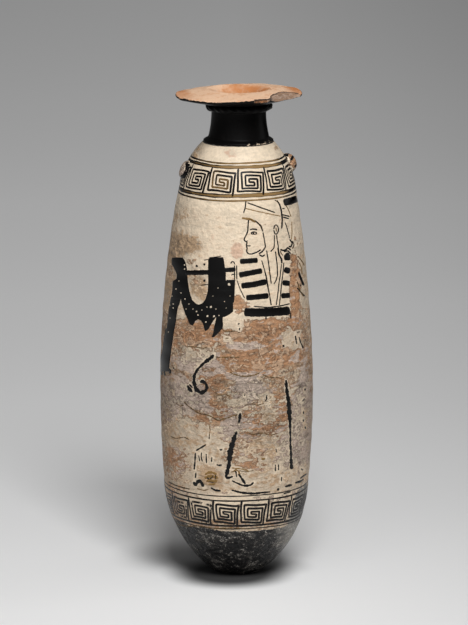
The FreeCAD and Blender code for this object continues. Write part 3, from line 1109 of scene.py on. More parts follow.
class Brushwork:
    """Thin closed slabs of glaze that share one mesh. Each lies on the wall, with its border
    just under the wall's surface."""

    ACROSS = np.array([-1.1, -0.8, 0.0, 0.8, 1.1])
    POOLED = np.array([0.1, 0.5, 1.3, 0.5, 0.1])
    SUNK = -0.04
    RUBBED_OFF = 1.6
    WAVER = 0.12
    RING_POINTS = 300
    RING_END = 182.0
    FILL_STEP = 0.9
    FILL_GRID = 1.1

    def __init__(self, wall, seed):
        self.wall = wall
        self.rise = wall.sizes.glaze_thickness * PER_METRE
        self.random = np.random.default_rng(seed)
        self.points = []
        self.faces = []
        self.values = {"tone": [], "loss": []}
        self.count = 0

    def slab(self, azimuth, height, tone=0.0, loss=0.0, rise=0.0, over_lugs=False):
        """A slab over a grid of places on the wall: the top is lifted inside the border and
        sunk at it, and the underside shares the border's points."""
        turn = np.gradient(azimuth, axis=1) * np.gradient(height, axis=0)
        turn -= np.gradient(azimuth, axis=0) * np.gradient(height, axis=1)
        if turn.mean() < 0:
            azimuth, height = azimuth[:, ::-1], height[:, ::-1]
        shape = azimuth.shape
        border = np.ones(shape, bool)
        border[1:-1, 1:-1] = False
        lift = np.where(border, self.SUNK, self.rise + rise)
        top = self.wall.point(azimuth, height, lift).reshape(-1, 3)
        under = self.wall.point(azimuth, height, self.SUNK * 1.6)[1:-1, 1:-1].reshape(-1, 3)
        above = np.arange(len(top)).reshape(shape)
        below = above.copy()
        below[~border] = len(top) + np.arange(len(under))
        for number, order in ((above, [0, 1, 2, 3]), (below, [0, 3, 2, 1])):
            corners = [number[:-1, :-1], number[:-1, 1:], number[1:, 1:], number[1:, :-1]]
            quads = np.stack(corners, axis=-1)[..., order].reshape(-1, 4)
            self.faces.append(quads + self.count)
        self.points += [top, under]
        self.count += len(top) + len(under)
        for key, value in (("tone", tone), ("loss", loss)):
            if np.ndim(value) == 1:
                value = np.asarray(value)[:, None]
            full = np.broadcast_to(value, shape)
            if key == "loss" and not over_lugs:
                for lug in LUGS:
                    bare = self.wall.inside_lug(lug, azimuth, height) > 0
                    full = np.where(bare, self.RUBBED_OFF, full)
            self.values[key] += [full.ravel(), full[1:-1, 1:-1].ravel()]

    def slab_seen(self, x, y, *values):
        """A slab over a grid of pixels."""
        self.slab(*self.wall.from_pixel(x, y), *values)

    def ribbon(self, path, width, softness=0.7, step=0.8, blunt=0.5, waver=WAVER):
        """Grids of places across a stroke: five lines beside the path, whose width wavers
        and closes in a rounded end."""
        line = softened(path, step, softness)
        forward = np.gradient(line, axis=0)
        forward /= np.maximum(np.hypot(*forward.T), 1e-6)[:, None]
        side = np.stack([-forward[:, 1], forward[:, 0]], axis=1)
        widths = np.atleast_1d(width)
        share = np.linspace(0, 1, len(line))
        half = np.interp(share, np.linspace(0, 1, len(widths)), widths) / 2
        reach = distances(line)
        phase = self.random.uniform(0, 6.28, 3)
        waves = np.sin(reach * 0.9 + phase[0]) + 0.7 * np.sin(reach * 2.3 + phase[1])
        half = half * (1 + waver * waves / 1.7)
        from_end = np.minimum(reach, reach[-1] - reach)
        close = np.clip(from_end / np.maximum(half / blunt, 1e-6), 0, 1)
        half = half * np.sqrt(np.maximum(1 - (1 - close) ** 2, 0.0009))
        places = line[:, None] + side[:, None] * (self.ACROSS * half[:, None])[..., None]
        return places[..., 0], places[..., 1]

    def stroke(self, path, width, tone=0.0, loss=0.0, rise=0.0, **ways):
        self.slab_seen(*self.ribbon(path, width, **ways), tone, loss, rise)

    def ring(self, height, width, tone, loss=0.0):
        """A line all round at one height: its places are a strip of azimuths."""
        azimuth = np.linspace(-self.RING_END, self.RING_END, self.RING_POINTS)
        turn = np.radians(azimuth)
        level = height + 0.1 * np.sin(turn * 2 + height) + 0.06 * np.sin(turn * 5 + 1.0)
        phase = self.random.uniform(0, 6.28, 2)
        waves = np.sin(turn * 9 + phase[0]) + np.sin(turn * 23 + phase[1])
        half = width / 2 * (1 + self.WAVER * waves / 1.6)
        heights = level[:, None] + self.ACROSS[None, :] * half[:, None]
        azimuths = np.broadcast_to(azimuth[:, None], heights.shape)
        self.slab(azimuths, heights, tone(azimuth)[:, None] * self.POOLED, loss)

    def dab_lug(self, lug, path, width):
        """A stroke on a lug, whose path is millimetres to the right of its middle and up."""
        across, up = self.ribbon(path, width, softness=0.2, step=0.3)
        height = lug[1] + up
        azimuth = lug[0] + np.degrees(across / self.wall.radius(height))
        self.slab(azimuth, height, loss=0.1, over_lugs=True)

    def fill(self, first, second, axis, rise):
        """A field between two edges that are functions of x (axis 0) or of y (axis 1): rows
        across it at even steps, each with even steps from one edge to the other."""
        first, second = np.array(first, float), np.array(second, float)
        low = max(first[0, axis], second[0, axis])
        high = min(first[-1, axis], second[-1, axis])
        at = np.linspace(low, high, max(int((high - low) / self.FILL_STEP), 4))
        near = np.interp(at, first[:, axis], first[:, 1 - axis])
        far = np.interp(at, second[:, axis], second[:, 1 - axis])
        wide = np.abs(far - near).max()
        share = np.linspace(0, 1, max(int(wide / self.FILL_GRID), 4))
        share = np.concatenate([[0.0, 0.02], share[1:-1], [0.98, 1.0]])
        across = near[:, None] + (far - near)[:, None] * share[None, :]
        down = np.broadcast_to(at[:, None], across.shape)
        x, y = (across, down) if axis == 1 else (down, across)
        self.slab_seen(x, y, 0.0, 0.0, rise)

    def dot(self, x, y, radius, rise=0.0):
        """A round dab: a square grid u, v moved onto a disc by u sqrt(1 - v^2 / 2) and
        v sqrt(1 - u^2 / 2)."""
        edge = np.linspace(-1, 1, 7)
        v, u = np.meshgrid(edge, edge, indexing="ij")
        lump = 1 + 0.12 * np.sin(3 * u + x) * np.cos(2 * v + y)
        across = x + radius * lump * u * np.sqrt(1 - v**2 / 2)
        down = y + radius * lump * v * np.sqrt(1 - u**2 / 2)
        self.slab_seen(across, down, 0.0, 0.0, rise)

    def make(self, name, finish=brushed_glaze):
        points = np.concatenate(self.points)
        values = {key: np.concatenate(value) for key, value in self.values.items()}
        settle(make_piece(name, points, self.faces, finish_of(finish), values))


# Bands. Heights are millimetres; the key's path is in pixels of the cell in front

UPPER_RINGS = ((143.6, 0.55), (142.4, 1.1), (133.1, 1.35), (131.6, 0.6))
LOWER_RINGS = ((31.6, 0.4), (30.0, 0.55), (20.8, 0.75), (19.7, 0.35))
KEY_PATH = (
    (238.5, 168), (237, 191.5), (260.5, 191.5), (260.7, 175.5), (245.5, 176), (245.3, 185.7),
    (254.5, 185.7), (254.5, 182.3), (249.3, 182.3), (249.3, 179.4), (257.5, 179), (257.5, 188.4),
    (241.5, 188.7), (241.5, 172.5), (263.5, 172), (263, 195.5),
)
KEY_LEFT = 1.3
KEY_RIGHT = 32.9

# Key bands: name, seed, line width in pixels, heights, cells, azimuth of the first separator
# from the camera's, and how far the separators stray from even steps
KEY_BANDS = (
    ("upper_key_lines", 11, 2.15, (133.3, 142.3), 12, 1.3, 2.67),
    ("lower_key_lines", 12, 2.35, (20.8, 30.0), 16, 4.4, 0.4),
)

# Arcs brushed round the right and the left lug, as width and path in millimetres
LUG_ARCS = (
    ((1.2, ((-4.6, 0.6), (-3.6, 2.5), (-1.6, 3.1), (1.2, 2.9), (3.2, 2))), (0.7, ((-3.4, 0.8),
     (-2.2, 1.4), (-0.4, 1.3))), (0.9, ((-4.4, -0.8), (-3.4, -2.4), (-1.4, -3), (1.2, -2.8))), (0.6,
     ((-3, -1.2), (-1.6, -1.6), (0.2, -1.2)))),
    ((1.1, ((0.8, 2.7), (2.8, 1.9), (3.6, 0.2), (3.1, -1.7), (1.2, -2.8))),),
)

# Millimetres that glaze laid over other glaze stands out more, so that no two slabs share
# a surface: fields that overlap, the fold across, the bars, the edges and the cream dots
OVERLAP_RISE = 0.002
FOLD_RISE = 0.012
BAR_RISE = 0.014
EDGE_RISE = 0.004
DOT_RISE = 0.05

# Cloak: fields between two edges, down the picture or across it

CLOAK_DOWN = (
    (((172, 256.5), (171.5, 264), (175, 270.5), (176.5, 275), (176, 279), (172.5, 281), (172, 290),
     (170, 300)), ((182.5, 257), (185, 260), (186.5, 264), (187.5, 269), (187.5, 274), (187.8, 280),
     (189, 287), (190.5, 294), (192.5, 300))),
    (((170.2, 299), (169, 305), (168, 315), (166.5, 328), (164.5, 340), (161.5, 356), (160.8, 372)),
     ((181, 299), (179, 305), (177.5, 308), (177, 313), (176, 320), (174.5, 327), (173.5, 335),
     (172.5, 343), (171, 352), (169, 372))),
    (((209.5, 256.8), (208, 260), (208, 293)), ((222.8, 256), (224, 260), (225, 267), (226, 272),
     (226, 281), (227, 293))),
    (((208, 280), (207.5, 293), (206.5, 299), (205, 303)), ((235.5, 280), (235, 290), (234.5, 300),
     (233.6, 306))),
    (((216.5, 315), (215.5, 321), (214, 327), (213, 333), (211.3, 337.6)), ((223.5, 315),
     (222, 322), (222, 328), (220.5, 331), (213.5, 337.6))),
)
CLOAK_ACROSS = (
    (((180.5, 297), (190, 297.5), (192.5, 300), (196, 303.5), (199, 304.5), (202.5, 303),
     (205.5, 299), (208, 290), (233.5, 290)), ((180.5, 299.5), (181.5, 303), (183, 308), (185, 314),
     (187.5, 319), (189.5, 324.5), (192.5, 326), (194, 324), (195.5, 321), (198, 319.5),
     (200.5, 320.5), (203, 323.5), (204.5, 330), (205, 332), (209, 329), (211, 325), (214, 320),
     (216.5, 317), (221, 317.5), (225, 317), (229, 315), (233.5, 311.5))),
)
CLOAK_BARS = (
    (5, ((185, 272.8), (197, 272.6), (210, 272.2))),
    (4.6, ((223, 270.4), (229, 269.9), (236, 269.3))),
)
CLOAK_EDGES = (
    (0.9, ((209.5, 257.6), (214.5, 257.2), (221.5, 256))),
    (1, ((200, 285.3), (204, 284.9), (208.5, 284.5))),
    (0.9, ((203.5, 260.2), (209, 259.3))),
    (1, ((226, 280), (230, 280.4), (236, 280))),
    (0.9, ((173.5, 259), (173.6, 262))),
    (0.9, ((166, 328), (163, 350), (158.6, 372))),
    (1.2, ((222, 318), (222.5, 324), (222, 330))),
)
CLOAK_FRAYS = (
    (2.2, ((168.6, 368), (170.4, 370.6), (169.6, 374))),
    (1.6, ((164, 370), (165.2, 376))),
    (1.4, ((172.6, 368.6), (174.6, 367.8))),
    (2.2, ((161.5, 371), (162, 375.6))),
)
GLAZE_DOTS = (
    (197, 266, 1.3), (204.5, 264.4, 1.3), (204.4, 280.6, 1.4), (173.6, 259.8, 0.7),
)
CREAM_DOTS = (
    (185, 265, 0.8), (185, 269, 0.8), (176, 289, 0.8), (185, 299, 0.8), (189, 304, 0.7),
    (173, 304, 0.7), (173, 308, 0.7), (169.5, 305, 0.6), (196.5, 311.5, 0.9), (198, 315, 0.9),
    (206, 322, 0.9), (207, 307, 0.7), (219, 315.5, 0.7), (224.5, 301.5, 0.6), (168.5, 332, 0.6),
    (211, 307, 1.3), (207.5, 316, 1.2), (214, 316.3, 1.2), (229, 284.5, 1.6), (193, 309, 0.6),
    (202, 310, 0.6), (216, 309, 0.6), (213, 296, 0.5), (218, 288, 0.5), (179, 281, 0.6),
    (181, 293, 0.6), (186, 309, 0.6), (230, 296, 0.5), (226, 308, 0.5), (170, 318, 0.5),
    (172, 296, 0.6),
)

# Garment: thick stripes, then fine lines as width, tone, loss and path

STRIPES = (
    (5.4, ((239.4, 261.6), (248, 261), (258.2, 260.2))),
    (5.8, ((238.6, 275.2), (249, 273.2), (262.6, 270.6))),
    (6.2, ((240.8, 286), (253, 284.6), (267, 281.6))),
    (5.8, ((245.6, 297.8), (256, 297), (269, 295.6))),
    (9, ((243.6, 312), (256, 312.6), (272, 312.2), (290.4, 310.6))),
    (6.4, ((283.6, 257.6), (291, 257.2))),
    (6.2, ((283.6, 269.2), (290.4, 271.4))),
    (5.6, ((282, 282.6), (290.4, 283.4))),
    (5.6, ((280.6, 296), (290.4, 295.2))),
    (7.6, ((283.4, 202.8), (290, 201.2), (297.6, 198.4))),
)
DRESS_LINES = (
    (1, 0.2, 0, ((253.4, 306.3), (268, 307.6), (280, 306), (290, 303.6))),
    (0.8, 0.3, 0, ((236.8, 280), (240, 289), (244.7, 298.5))),
    (1, 0.1, 0, ((234.4, 265), (234.6, 280))),
    (1, 0.1, 0, ((236.6, 265), (236.8, 280))),
    (1, 0.3, 0, ((230.5, 264), (231.8, 261.3), (234, 262), (235, 265))),
    (1, 0.3, 0, ((231, 275.5), (233, 274), (234.5, 275))),
    (0.9, 0.3, 0, ((261.6, 260), (266, 275), (268, 285), (271, 305.5))),
    (1, 0.2, 0, ((266.6, 250), (268.5, 262), (270, 275), (271.4, 284))),
    (1, 0.2, 0, ((275.5, 251), (277.2, 265), (277.4, 275), (276, 281), (273.8, 284.4))),
    (0.9, 0.3, 0, ((281.6, 263.5), (279, 284), (276.2, 305.5))),
    (0.9, 0.3, 0, ((284, 262), (281.6, 284), (279.2, 305.5))),
    (0.9, 0.2, 0, ((264.6, 270), (268.4, 290), (271.6, 305.5))),
    (1.5, 0, 0, ((278, 247), (279.2, 255), (281.6, 259), (282, 264))),
    (1.2, 0, 0, ((266, 316), (266, 320))),
    (1, 0.1, 0, ((290.2, 312), (290.6, 319))),
)
CAP_LINES = (
    (1.1, 0.1, 0, ((246, 201), (245.2, 208), (243.4, 213.4))),
    (1.1, 0.1, 0, ((247, 202.5), (260, 207.3), (275.5, 212.7))),
    (0.8, 0.7, 0.1, ((245.2, 208.4), (256, 211), (266, 213.2), (281, 216.2))),
    (1.3, 0.1, 0, ((277, 200), (280, 204.6), (281.6, 211), (282.4, 219), (282, 229))),
    (0.8, 0.4, 0, ((274.5, 199.8), (277.5, 201.4), (280, 204.8))),
    (1.2, 0, 0, ((281.6, 214.4), (290, 216.6))),
    (1.2, 0, 0, ((282.4, 216.8), (289.5, 218.8))),
    (0.9, 0.3, 0, ((282, 208.4), (285.4, 208.6))),
    (0.7, 0.6, 0.1, ((286, 205), (288.8, 210), (291, 217))),
    (1.1, 0.1, 0, ((273.8, 229.5), (274.6, 225.6), (276.4, 224.6), (278.4, 227), (278.8, 230.4),
     (277.4, 234), (275.2, 234.2), (273.8, 229.5))),
    (0.9, 0.5, 0, ((276, 227), (276.8, 232))),
    (0.9, 0.3, 0, ((274.6, 234.6), (274, 248), (270.4, 252))),
    (0.9, 0.3, 0, ((276.8, 234.6), (277.2, 241), (278.6, 248))),
    (0.8, 0.3, 0.05, ((285, 222), (287.2, 227), (289, 234), (289.8, 238.6))),
    (1.3, 0.1, 0, ((289.6, 239), (292.6, 243), (291.2, 247), (288.4, 246))),
    (0.8, 0.3, 0, ((292.6, 240.5), (294.4, 245), (292.4, 249))),
    (1.5, 0, 0, ((280, 249), (283, 250.6), (286, 250), (288, 247.4), (291.4, 250.6))),
    (4.6, 0, 0, ((285, 256), (290, 253.4))),
    (1.2, 0, 0, ((283.6, 252), (288, 250.6), (291.4, 254))),
    (0.7, 0.7, 0.1, ((292, 221), (292.4, 231), (291.6, 240))),
    (0.8, 0.4, 0, ((281.4, 248.5), (280.6, 252.4), (283.4, 256))),
)
RIGHT_LINES = (
    (2, 0.1, 0.05, ((298.6, 271.6), (301, 278), (304, 286))),
    (1.1, 0.2, 0.05, ((296.8, 287.4), (300.6, 292), (305, 296.4))),
    (1.4, 0.2, 0, ((300.4, 284.8), (301.2, 286.6))),
    (0.9, 0.5, 0.1, ((297.8, 255.6), (301.4, 260), (304.6, 266))),
    (0.9, 0.5, 0.1, ((297.2, 281.4), (299.6, 290), (303.4, 297))),
    (0.8, 0.6, 0.1, ((299, 262), (301.6, 268), (302.4, 275))),
)

# Strokes left in the worn lower picture: width or widths, tone, loss and path

LOWER_STROKES = (
    ((3.2, 3.4, 2.2, 2.6, 3.2, 3.6, 3.4, 2.6, 3.6), 0, 0.12, ((214, 354.6), (210.7, 358),
     (203, 363.6), (197.7, 369), (194, 375.6), (193.4, 382), (195.6, 389.4), (200.6, 393),
     (205.1, 391.2), (206.8, 387.6), (205.4, 383.4), (201.6, 381.2), (199.4, 382.8))),
    ((2.8, 3.2, 2.4), 0, 0.12, ((187, 385), (189, 389), (192.4, 392.6))),
    ((1.4, 1.8), 0, 0.15, ((188.6, 384), (192.6, 388.4))),
    (2.4, 0, 0.1, ((243.9, 395.4), (245.2, 395.2))),
    ((2.2, 3.2, 1.6), 0, 0.18, ((240.2, 412.6), (240, 417), (238.6, 423.4))),
    ((2, 4.2, 4.8, 5.4, 3.6, 3.8, 2.6), 0, 0.14, ((237, 431), (234.4, 437.4), (232, 445),
     (230.6, 450), (229.7, 456), (229, 464.5), (226.8, 473.6), (225.4, 478))),
    ((2.6, 2.2), 0, 0.2, ((225.4, 477.8), (229.4, 477.8), (233.2, 476.2))),
    ((2, 3, 3.6, 4.4, 2.6, 1.8, 2.2, 2.4, 4), 0, 0.14, ((286, 379.3), (287, 390.7), (288.3, 399.4),
     (289.4, 410.3), (290, 422), (290.5, 436), (290.6, 449), (291.2, 460), (291.6, 469.6))),
    ((1.4, 1.2), 0.1, 0.1, ((266.8, 394.6), (266.5, 400.6))),
    (1.6, 0.1, 0.1, ((266.4, 406), (267.2, 406.2))),
    (1.4, 0.1, 0.1, ((269.2, 405.2), (269.8, 405.6))),
    (0.9, 0.3, 0.1, ((264.8, 399), (265.6, 401.2), (268.4, 401))),
    (1.3, 0.1, 0.1, ((295.2, 335.2), (296.4, 344.4))),
    (1.2, 0.1, 0.1, ((298.6, 336.4), (300.4, 343), (303, 348.6))),
    (1, 0.2, 0.1, ((296.4, 332.4), (300, 331.6))),
    (1.8, 0.1, 0.15, ((283.2, 344.4), (283.8, 347.6))),
    (1.6, 0, 0.1, ((237.6, 324.6), (239.8, 323.2))),
    (1.5, 0, 0.1, ((239.8, 327.4), (239.2, 330.6))),
    (0.9, 0.5, 0.1, ((224.8, 338.4), (229.2, 338))),
    (1.1, 0.3, 0.1, ((209.2, 433.6), (209, 439.6))),
    ((1.2, 1.6, 1.4), 0.15, 0.12, ((206.4, 444.4), (201.4, 447.4), (195.8, 450.8))),
    ((1.6, 1.4, 1.8), 0.1, 0.15, ((195.6, 452.4), (195, 460), (194.3, 470))),
    ((1.4, 1.2), 0.1, 0.2, ((196.2, 472), (195.4, 478.4))),
    (1.3, 0.1, 0.1, ((206.2, 453.4), (206.4, 463.6))),
    (1.3, 0.1, 0.1, ((211.8, 456.8), (211.4, 462.6))),
    (1.1, 0.2, 0.1, ((201.6, 452), (201.2, 457.4), (202.4, 462))),
    (1, 0.3, 0.15, ((198.6, 454.8), (199.8, 461.8))),
    (1.7, 0.1, 0.15, ((216, 464.6), (218.8, 465.6), (222.2, 465))),
    (1.2, 0.3, 0.2, ((219.2, 448.8), (221.4, 450.8), (222, 448.4))),
    (1.2, 0.2, 0.1, ((275.4, 464.2), (275.2, 471.6))),
    (1.2, 0.2, 0.1, ((278.6, 464), (278.4, 470.6))),
    (1.1, 0.3, 0.15, ((276.6, 452.6), (275.8, 448.6))),
    (1.1, 0.3, 0.15, ((281.6, 476.4), (281.2, 481.6))),
    ((2.6, 3, 3.2, 3), 0, 0.16, ((193.4, 481.4), (195.6, 485.4), (198.2, 481), (200.8, 481.4),
     (203.8, 487))),
    ((1.2, 1.6, 2.2, 1.4), 0.1, 0.08, ((231.6, 480.6), (236.4, 482.8), (242, 485.4), (246.6, 485.8),
     (251, 485), (254, 482))),
    ((1.6, 2.2, 2.6), 0, 0.08, ((238.2, 473.2), (241.4, 478), (245.6, 484.4))),
    (1.4, 0.35, 0.2, ((235.6, 470.6), (236.8, 477.6))),
    (1.2, 0.8, 0.1, ((231, 468), (240, 468.8), (249, 471))),
    (2.2, 0.7, 0.25, ((261, 459.4), (265.6, 458.4))),
    (1.6, 0.1, 0.2, ((305.2, 388), (304.6, 391))),
    (1.2, 0.2, 0.25, ((304.4, 398), (302, 401.6))),
    (1.4, 0.1, 0.2, ((303.6, 411), (303.4, 414.4))),
    (1.4, 0.1, 0.2, ((303, 419), (303.8, 422.2))),
    (1.2, 0.2, 0.2, ((305, 426), (305.6, 429.4))),
    (1.2, 0.3, 0.25, ((300.8, 468.4), (303.4, 470.6))),
)
LOWER_WEIGHT = 1.12
GROUND_LINE = (
    ((1.6, 2.2, 2), 0, 0.2, ((210.4, 487.4), (215, 490.2), (221.2, 491))),
    ((1.6, 2.4, 2.2, 1.6), 0, 0.1, ((231, 490), (240, 492.4), (247.6, 493.4), (255, 493.6),
     (263, 492.6), (270.6, 491.8))),
    ((2.2, 2.6), 0, 0.25, ((276.4, 490.2), (279.6, 488.6))),
    ((2, 2.6, 1.8), 0, 0.25, ((284.4, 486.8), (289, 485.4), (292.4, 484.8))),
    ((2.2, 2.4, 1.6), 0, 0.25, ((294.6, 483), (300, 481.6), (304.4, 479))),
    (1.5, 0.1, 0.3, ((299.6, 478.8), (303, 476.2), (307, 473.6))),
    (1.2, 0.2, 0.3, ((283, 494), (288, 492.4), (291, 491.6))),
    (1.2, 0.4, 0.3, ((168, 482), (174, 485), (182, 487.6), (190, 489.2))),
)

# Dilute glaze spilt under the figure: width, tone, loss and path
GOLDEN_STROKES = (
    (2.6, 0.75, 0.3, ((204.8, 475), (208, 472.6), (212.6, 472.4), (217, 474.6))),
    (3, 0.85, 0.28, ((204.2, 478.4), (209, 476), (213.4, 476.6), (218.6, 478))),
    (2.8, 0.7, 0.3, ((206, 481.6), (210, 480), (214, 481.4), (218, 480.6))),
    (2, 0.9, 0.3, ((208, 484), (212.4, 484.4), (216, 483.4))),
    (1.2, 0.2, 0.34, ((206.6, 477), (209, 479.4), (212.4, 477.4), (213.4, 474.8))),
    (1, 0.3, 0.34, ((214.4, 479.6), (216.2, 477), (214.6, 474.4))),
    (1, 0.3, 0.34, ((207.6, 481.4), (211.8, 482.2), (215.4, 482))),
    (1.6, 1, 0.34, ((233.4, 472), (235.6, 469.4), (238.4, 471), (240, 475))),
)

# Painted shadow lines along the edges of the larger flakes, brushed on as dark glaze: width and
# path
FLAKE_SHADOW_LINES = (
    (0.9, ((215, 356.8), (222, 357.6), (230, 357), (239.6, 357.6))),
    (1.2, ((229.6, 371.6), (233, 374), (239.6, 375.8), (246.4, 376.4), (254.6, 375), (260, 372.6))),
    (1.1, ((183.8, 401.8), (189.6, 407.4), (198, 413.2), (208, 415.2), (218, 420.6), (226, 418.4),
     (238, 414.4))),
    (0.9, ((186.6, 346), (194.6, 347.2), (203.8, 348.4), (207.4, 346.6))),
    (0.8, ((262, 374.2), (269, 377.4), (276, 377), (284, 379.4))),
    (0.8, ((208.8, 423), (210, 430), (208.8, 438))),
    (0.9, ((176, 403), (180, 406.4), (184, 405))),
    (0.9, ((222, 330.4), (229, 331.4), (236, 331), (240, 333))),
    (0.9, ((244, 405.6), (251, 403.8), (258, 405.2), (264, 403.2))),
    (0.8, ((246, 432.6), (253, 434.4), (262, 433), (270, 435.2), (278, 433.4))),
    (0.8, ((214, 392), (219, 395.2), (226, 394.2), (231, 397.4))),
    (0.8, ((170, 436), (176, 438.6), (184, 437), (190, 440))),
    (0.9, ((230, 472.4), (238, 470.6), (246, 472), (254, 470.4))),
    (0.9, ((196.6, 488.6), (204, 490.4), (209, 489.4))),
    (1, ((176, 524), (186, 526.6), (198, 526), (214, 528.4), (232, 527.6), (250, 529))),
)

# The face, as width, tone and shares of its height from the hairline to the chin, facing
# left. Its thirds end at the brow and at the foot of the nose, and the eye lies just under
# the brow

LINE_WEIGHT = 1.25
FACE_PLACE = (248.6, 219.0)
FACE_HEIGHT = 35.0
FACE_STROKES = (
    (1.2, 0.1, ((0, 0), (0.01, 0.12), (0.02, 0.24), (0.02, 0.33), (0.055, 0.43), (0.105, 0.53),
     (0.13, 0.58), (0.115, 0.62), (0.045, 0.66), (0.045, 0.7), (0.07, 0.73), (0.045, 0.765),
     (0.065, 0.8), (0.035, 0.84), (0.055, 0.89), (0.05, 0.95), (0, 1), (-0.1, 1), (-0.24, 0.95),
     (-0.36, 0.87))),
    (1.3, 0.05, ((-0.03, 0.315), (-0.11, 0.285), (-0.21, 0.295), (-0.26, 0.32))),
    (1.1, 0.05, ((-0.055, 0.415), (-0.12, 0.37), (-0.19, 0.37), (-0.25, 0.41))),
    (0.9, 0.05, ((-0.055, 0.415), (-0.13, 0.44), (-0.2, 0.435), (-0.25, 0.41))),
    (1, 0.05, ((0.055, 0.635), (0.02, 0.615))),
    (1.1, 0.05, ((0.045, 0.765), (-0.02, 0.77), (-0.07, 0.76))),
)
IRIS_PLACE = ((-0.14, 0.405),)
IRIS_RADIUS = 0.9
HAIR_LINES = (
    ((2, 2.6, 2.4, 1.8), 0.75, ((241.4, 218), (246, 218.6), (251, 219.4), (256, 222.6))),
    ((1, 1.6, 1.8, 1.4), 0.35, ((249, 219), (256, 221.4), (261, 226), (263, 232))),
    ((1.4, 1.2, 1.4, 1.8), 0.2, ((263, 232), (264.4, 240), (265.4, 247), (262.4, 251.6),
     (258.6, 254))),
    ((1.4, 1.8, 1.2), 0.1, ((259, 254.4), (262.4, 256.6), (265.6, 254.4))),
)


def face_path(shares):
    across, down = np.array(shares, float).T
    left, top = FACE_PLACE
    return np.stack([left - FACE_HEIGHT * across, top + FACE_HEIGHT * down], axis=1)


def key_cell(wall, brush, width):
    """The key's line in front as shares of its cell: across from one separator to the next,
    and up from the upper band's lower line to its upper line."""
    x, y = brush.ribbon(KEY_PATH, width, softness=0.5, step=0.7, waver=0.0)
    azimuth, height = wall.from_pixel(x, y)
    turn = math.degrees(wall.stage.azimuth)
    low, high = KEY_BANDS[0][3]
    across = (azimuth - turn - KEY_LEFT) / (KEY_RIGHT - KEY_LEFT)
    return across, (height - low) / (high - low)


def key_band(wall, band, tone_of, loss_of):
    """Copies of the cell round the vessel, each drawn a little unlike the others: its places
    are moved by slow waves of their own."""
    name, seed, width, (low, high), count, first, spread = band
    brush = Brushwork(wall, seed)
    across, up = key_cell(wall, brush, width)
    along = np.linspace(0, 1, across.shape[0])
    even = np.arange(count + 1) * 360.0 / count
    separators = first + even + spread * np.sin(np.radians(even))
    for left, right in zip(separators[:-1], separators[1:]):
        phase = brush.random.uniform(0, 6.28, 4)
        size = brush.random.uniform(0.6, 1.0)
        moved = across + 0.022 * size * np.sin(up * 5.0 + phase[0])
        moved = moved + 0.012 * size * np.sin(across * 9.0 + phase[1])
        raised = up + 0.020 * size * np.sin(across * 6.0 + phase[2])
        raised = raised + 0.012 * size * np.sin(up * 11.0 + phase[3])
        azimuth = math.degrees(wall.stage.azimuth) + left + moved * (right - left)
        height = low + raised * (high - low)
        middle = (left + right) / 2
        brush.slab(azimuth, height, tone_of(middle, along, phase), loss_of(middle, along))
    brush.make(name)


def upper_tone(middle, along, phase):
    """Golden in the middle of the key's line, most in the two cells left of the front."""
    golden = 0.5 if -32.0 < wrapped(middle) < 0 else 0.12
    inner = np.exp(-(((along - 0.55) / 0.26) ** 2))
    return 0.08 + golden * inner + 0.12 * np.sin(along * 9.0 + phase[0])


def upper_loss(middle, along):
    return 0.04


def lower_tone(middle, along, phase):
    return 0.1 + 0.1 * np.sin(along * 7.0 + phase[1])


def lower_loss(middle, along):
    """Worn in stretches, and more so in the cells at the left."""
    left = -90 < wrapped(middle) < -18
    return 0.2 + 0.16 * np.sin(along * 5 + middle) + 0.16 * left


def band_tone(turn):
    """Golden in front of the camera, black towards the sides."""
    def tone(azimuth):
        away = np.abs(wrapped(azimuth - turn))
        slow = 0.25 * np.sin(np.radians(azimuth) * 3 + 1.0)
        return 0.7 * np.exp(-((away / 68.0) ** 6)) + slow * (away < 100) + 0.05
    return tone


# Operators


class ALABASTRON_OT_body(bpy.types.Operator):
    """Body of slip over clay, with its lugs and its hollow"""

    bl_idname = "alabastron.body"
    bl_label = "Body"

    def execute(self, context):
        settle(make_body(the_wall(), finish_of(slip_over_clay)))
        return {"FINISHED"}


class ALABASTRON_OT_mouth(bpy.types.Operator):
    """Neck, ring and mouth plate with its broken edge"""

    bl_idname = "alabastron.mouth"
    bl_label = "Mouth"

    def execute(self, context):
        settle(make_mouth(the_wall(), finish_of(glaze_and_pale_clay)))
        return {"FINISHED"}


class ALABASTRON_OT_bands(bpy.types.Operator):
    """Two bands of keys between ruled lines"""

    bl_idname = "alabastron.bands"
    bl_label = "Key bands"

    def execute(self, context):
        wall = the_wall()
        tone = band_tone(math.degrees(wall.stage.azimuth))
        rings = Brushwork(wall, 3)
        for height, width in UPPER_RINGS:
            rings.ring(height, width, tone)
        for height, width in LOWER_RINGS:
            rings.ring(height, width, lambda azimuth: 0.1 + 0 * azimuth, loss=0.24)
        for lug, arcs in zip(LUGS, LUG_ARCS):
            for width, path in arcs:
                rings.dab_lug(lug, path, width)
        rings.make("band_lines")
        upper, lower = KEY_BANDS
        key_band(wall, upper, upper_tone, upper_loss)
        key_band(wall, lower, lower_tone, lower_loss)
        return {"FINISHED"}


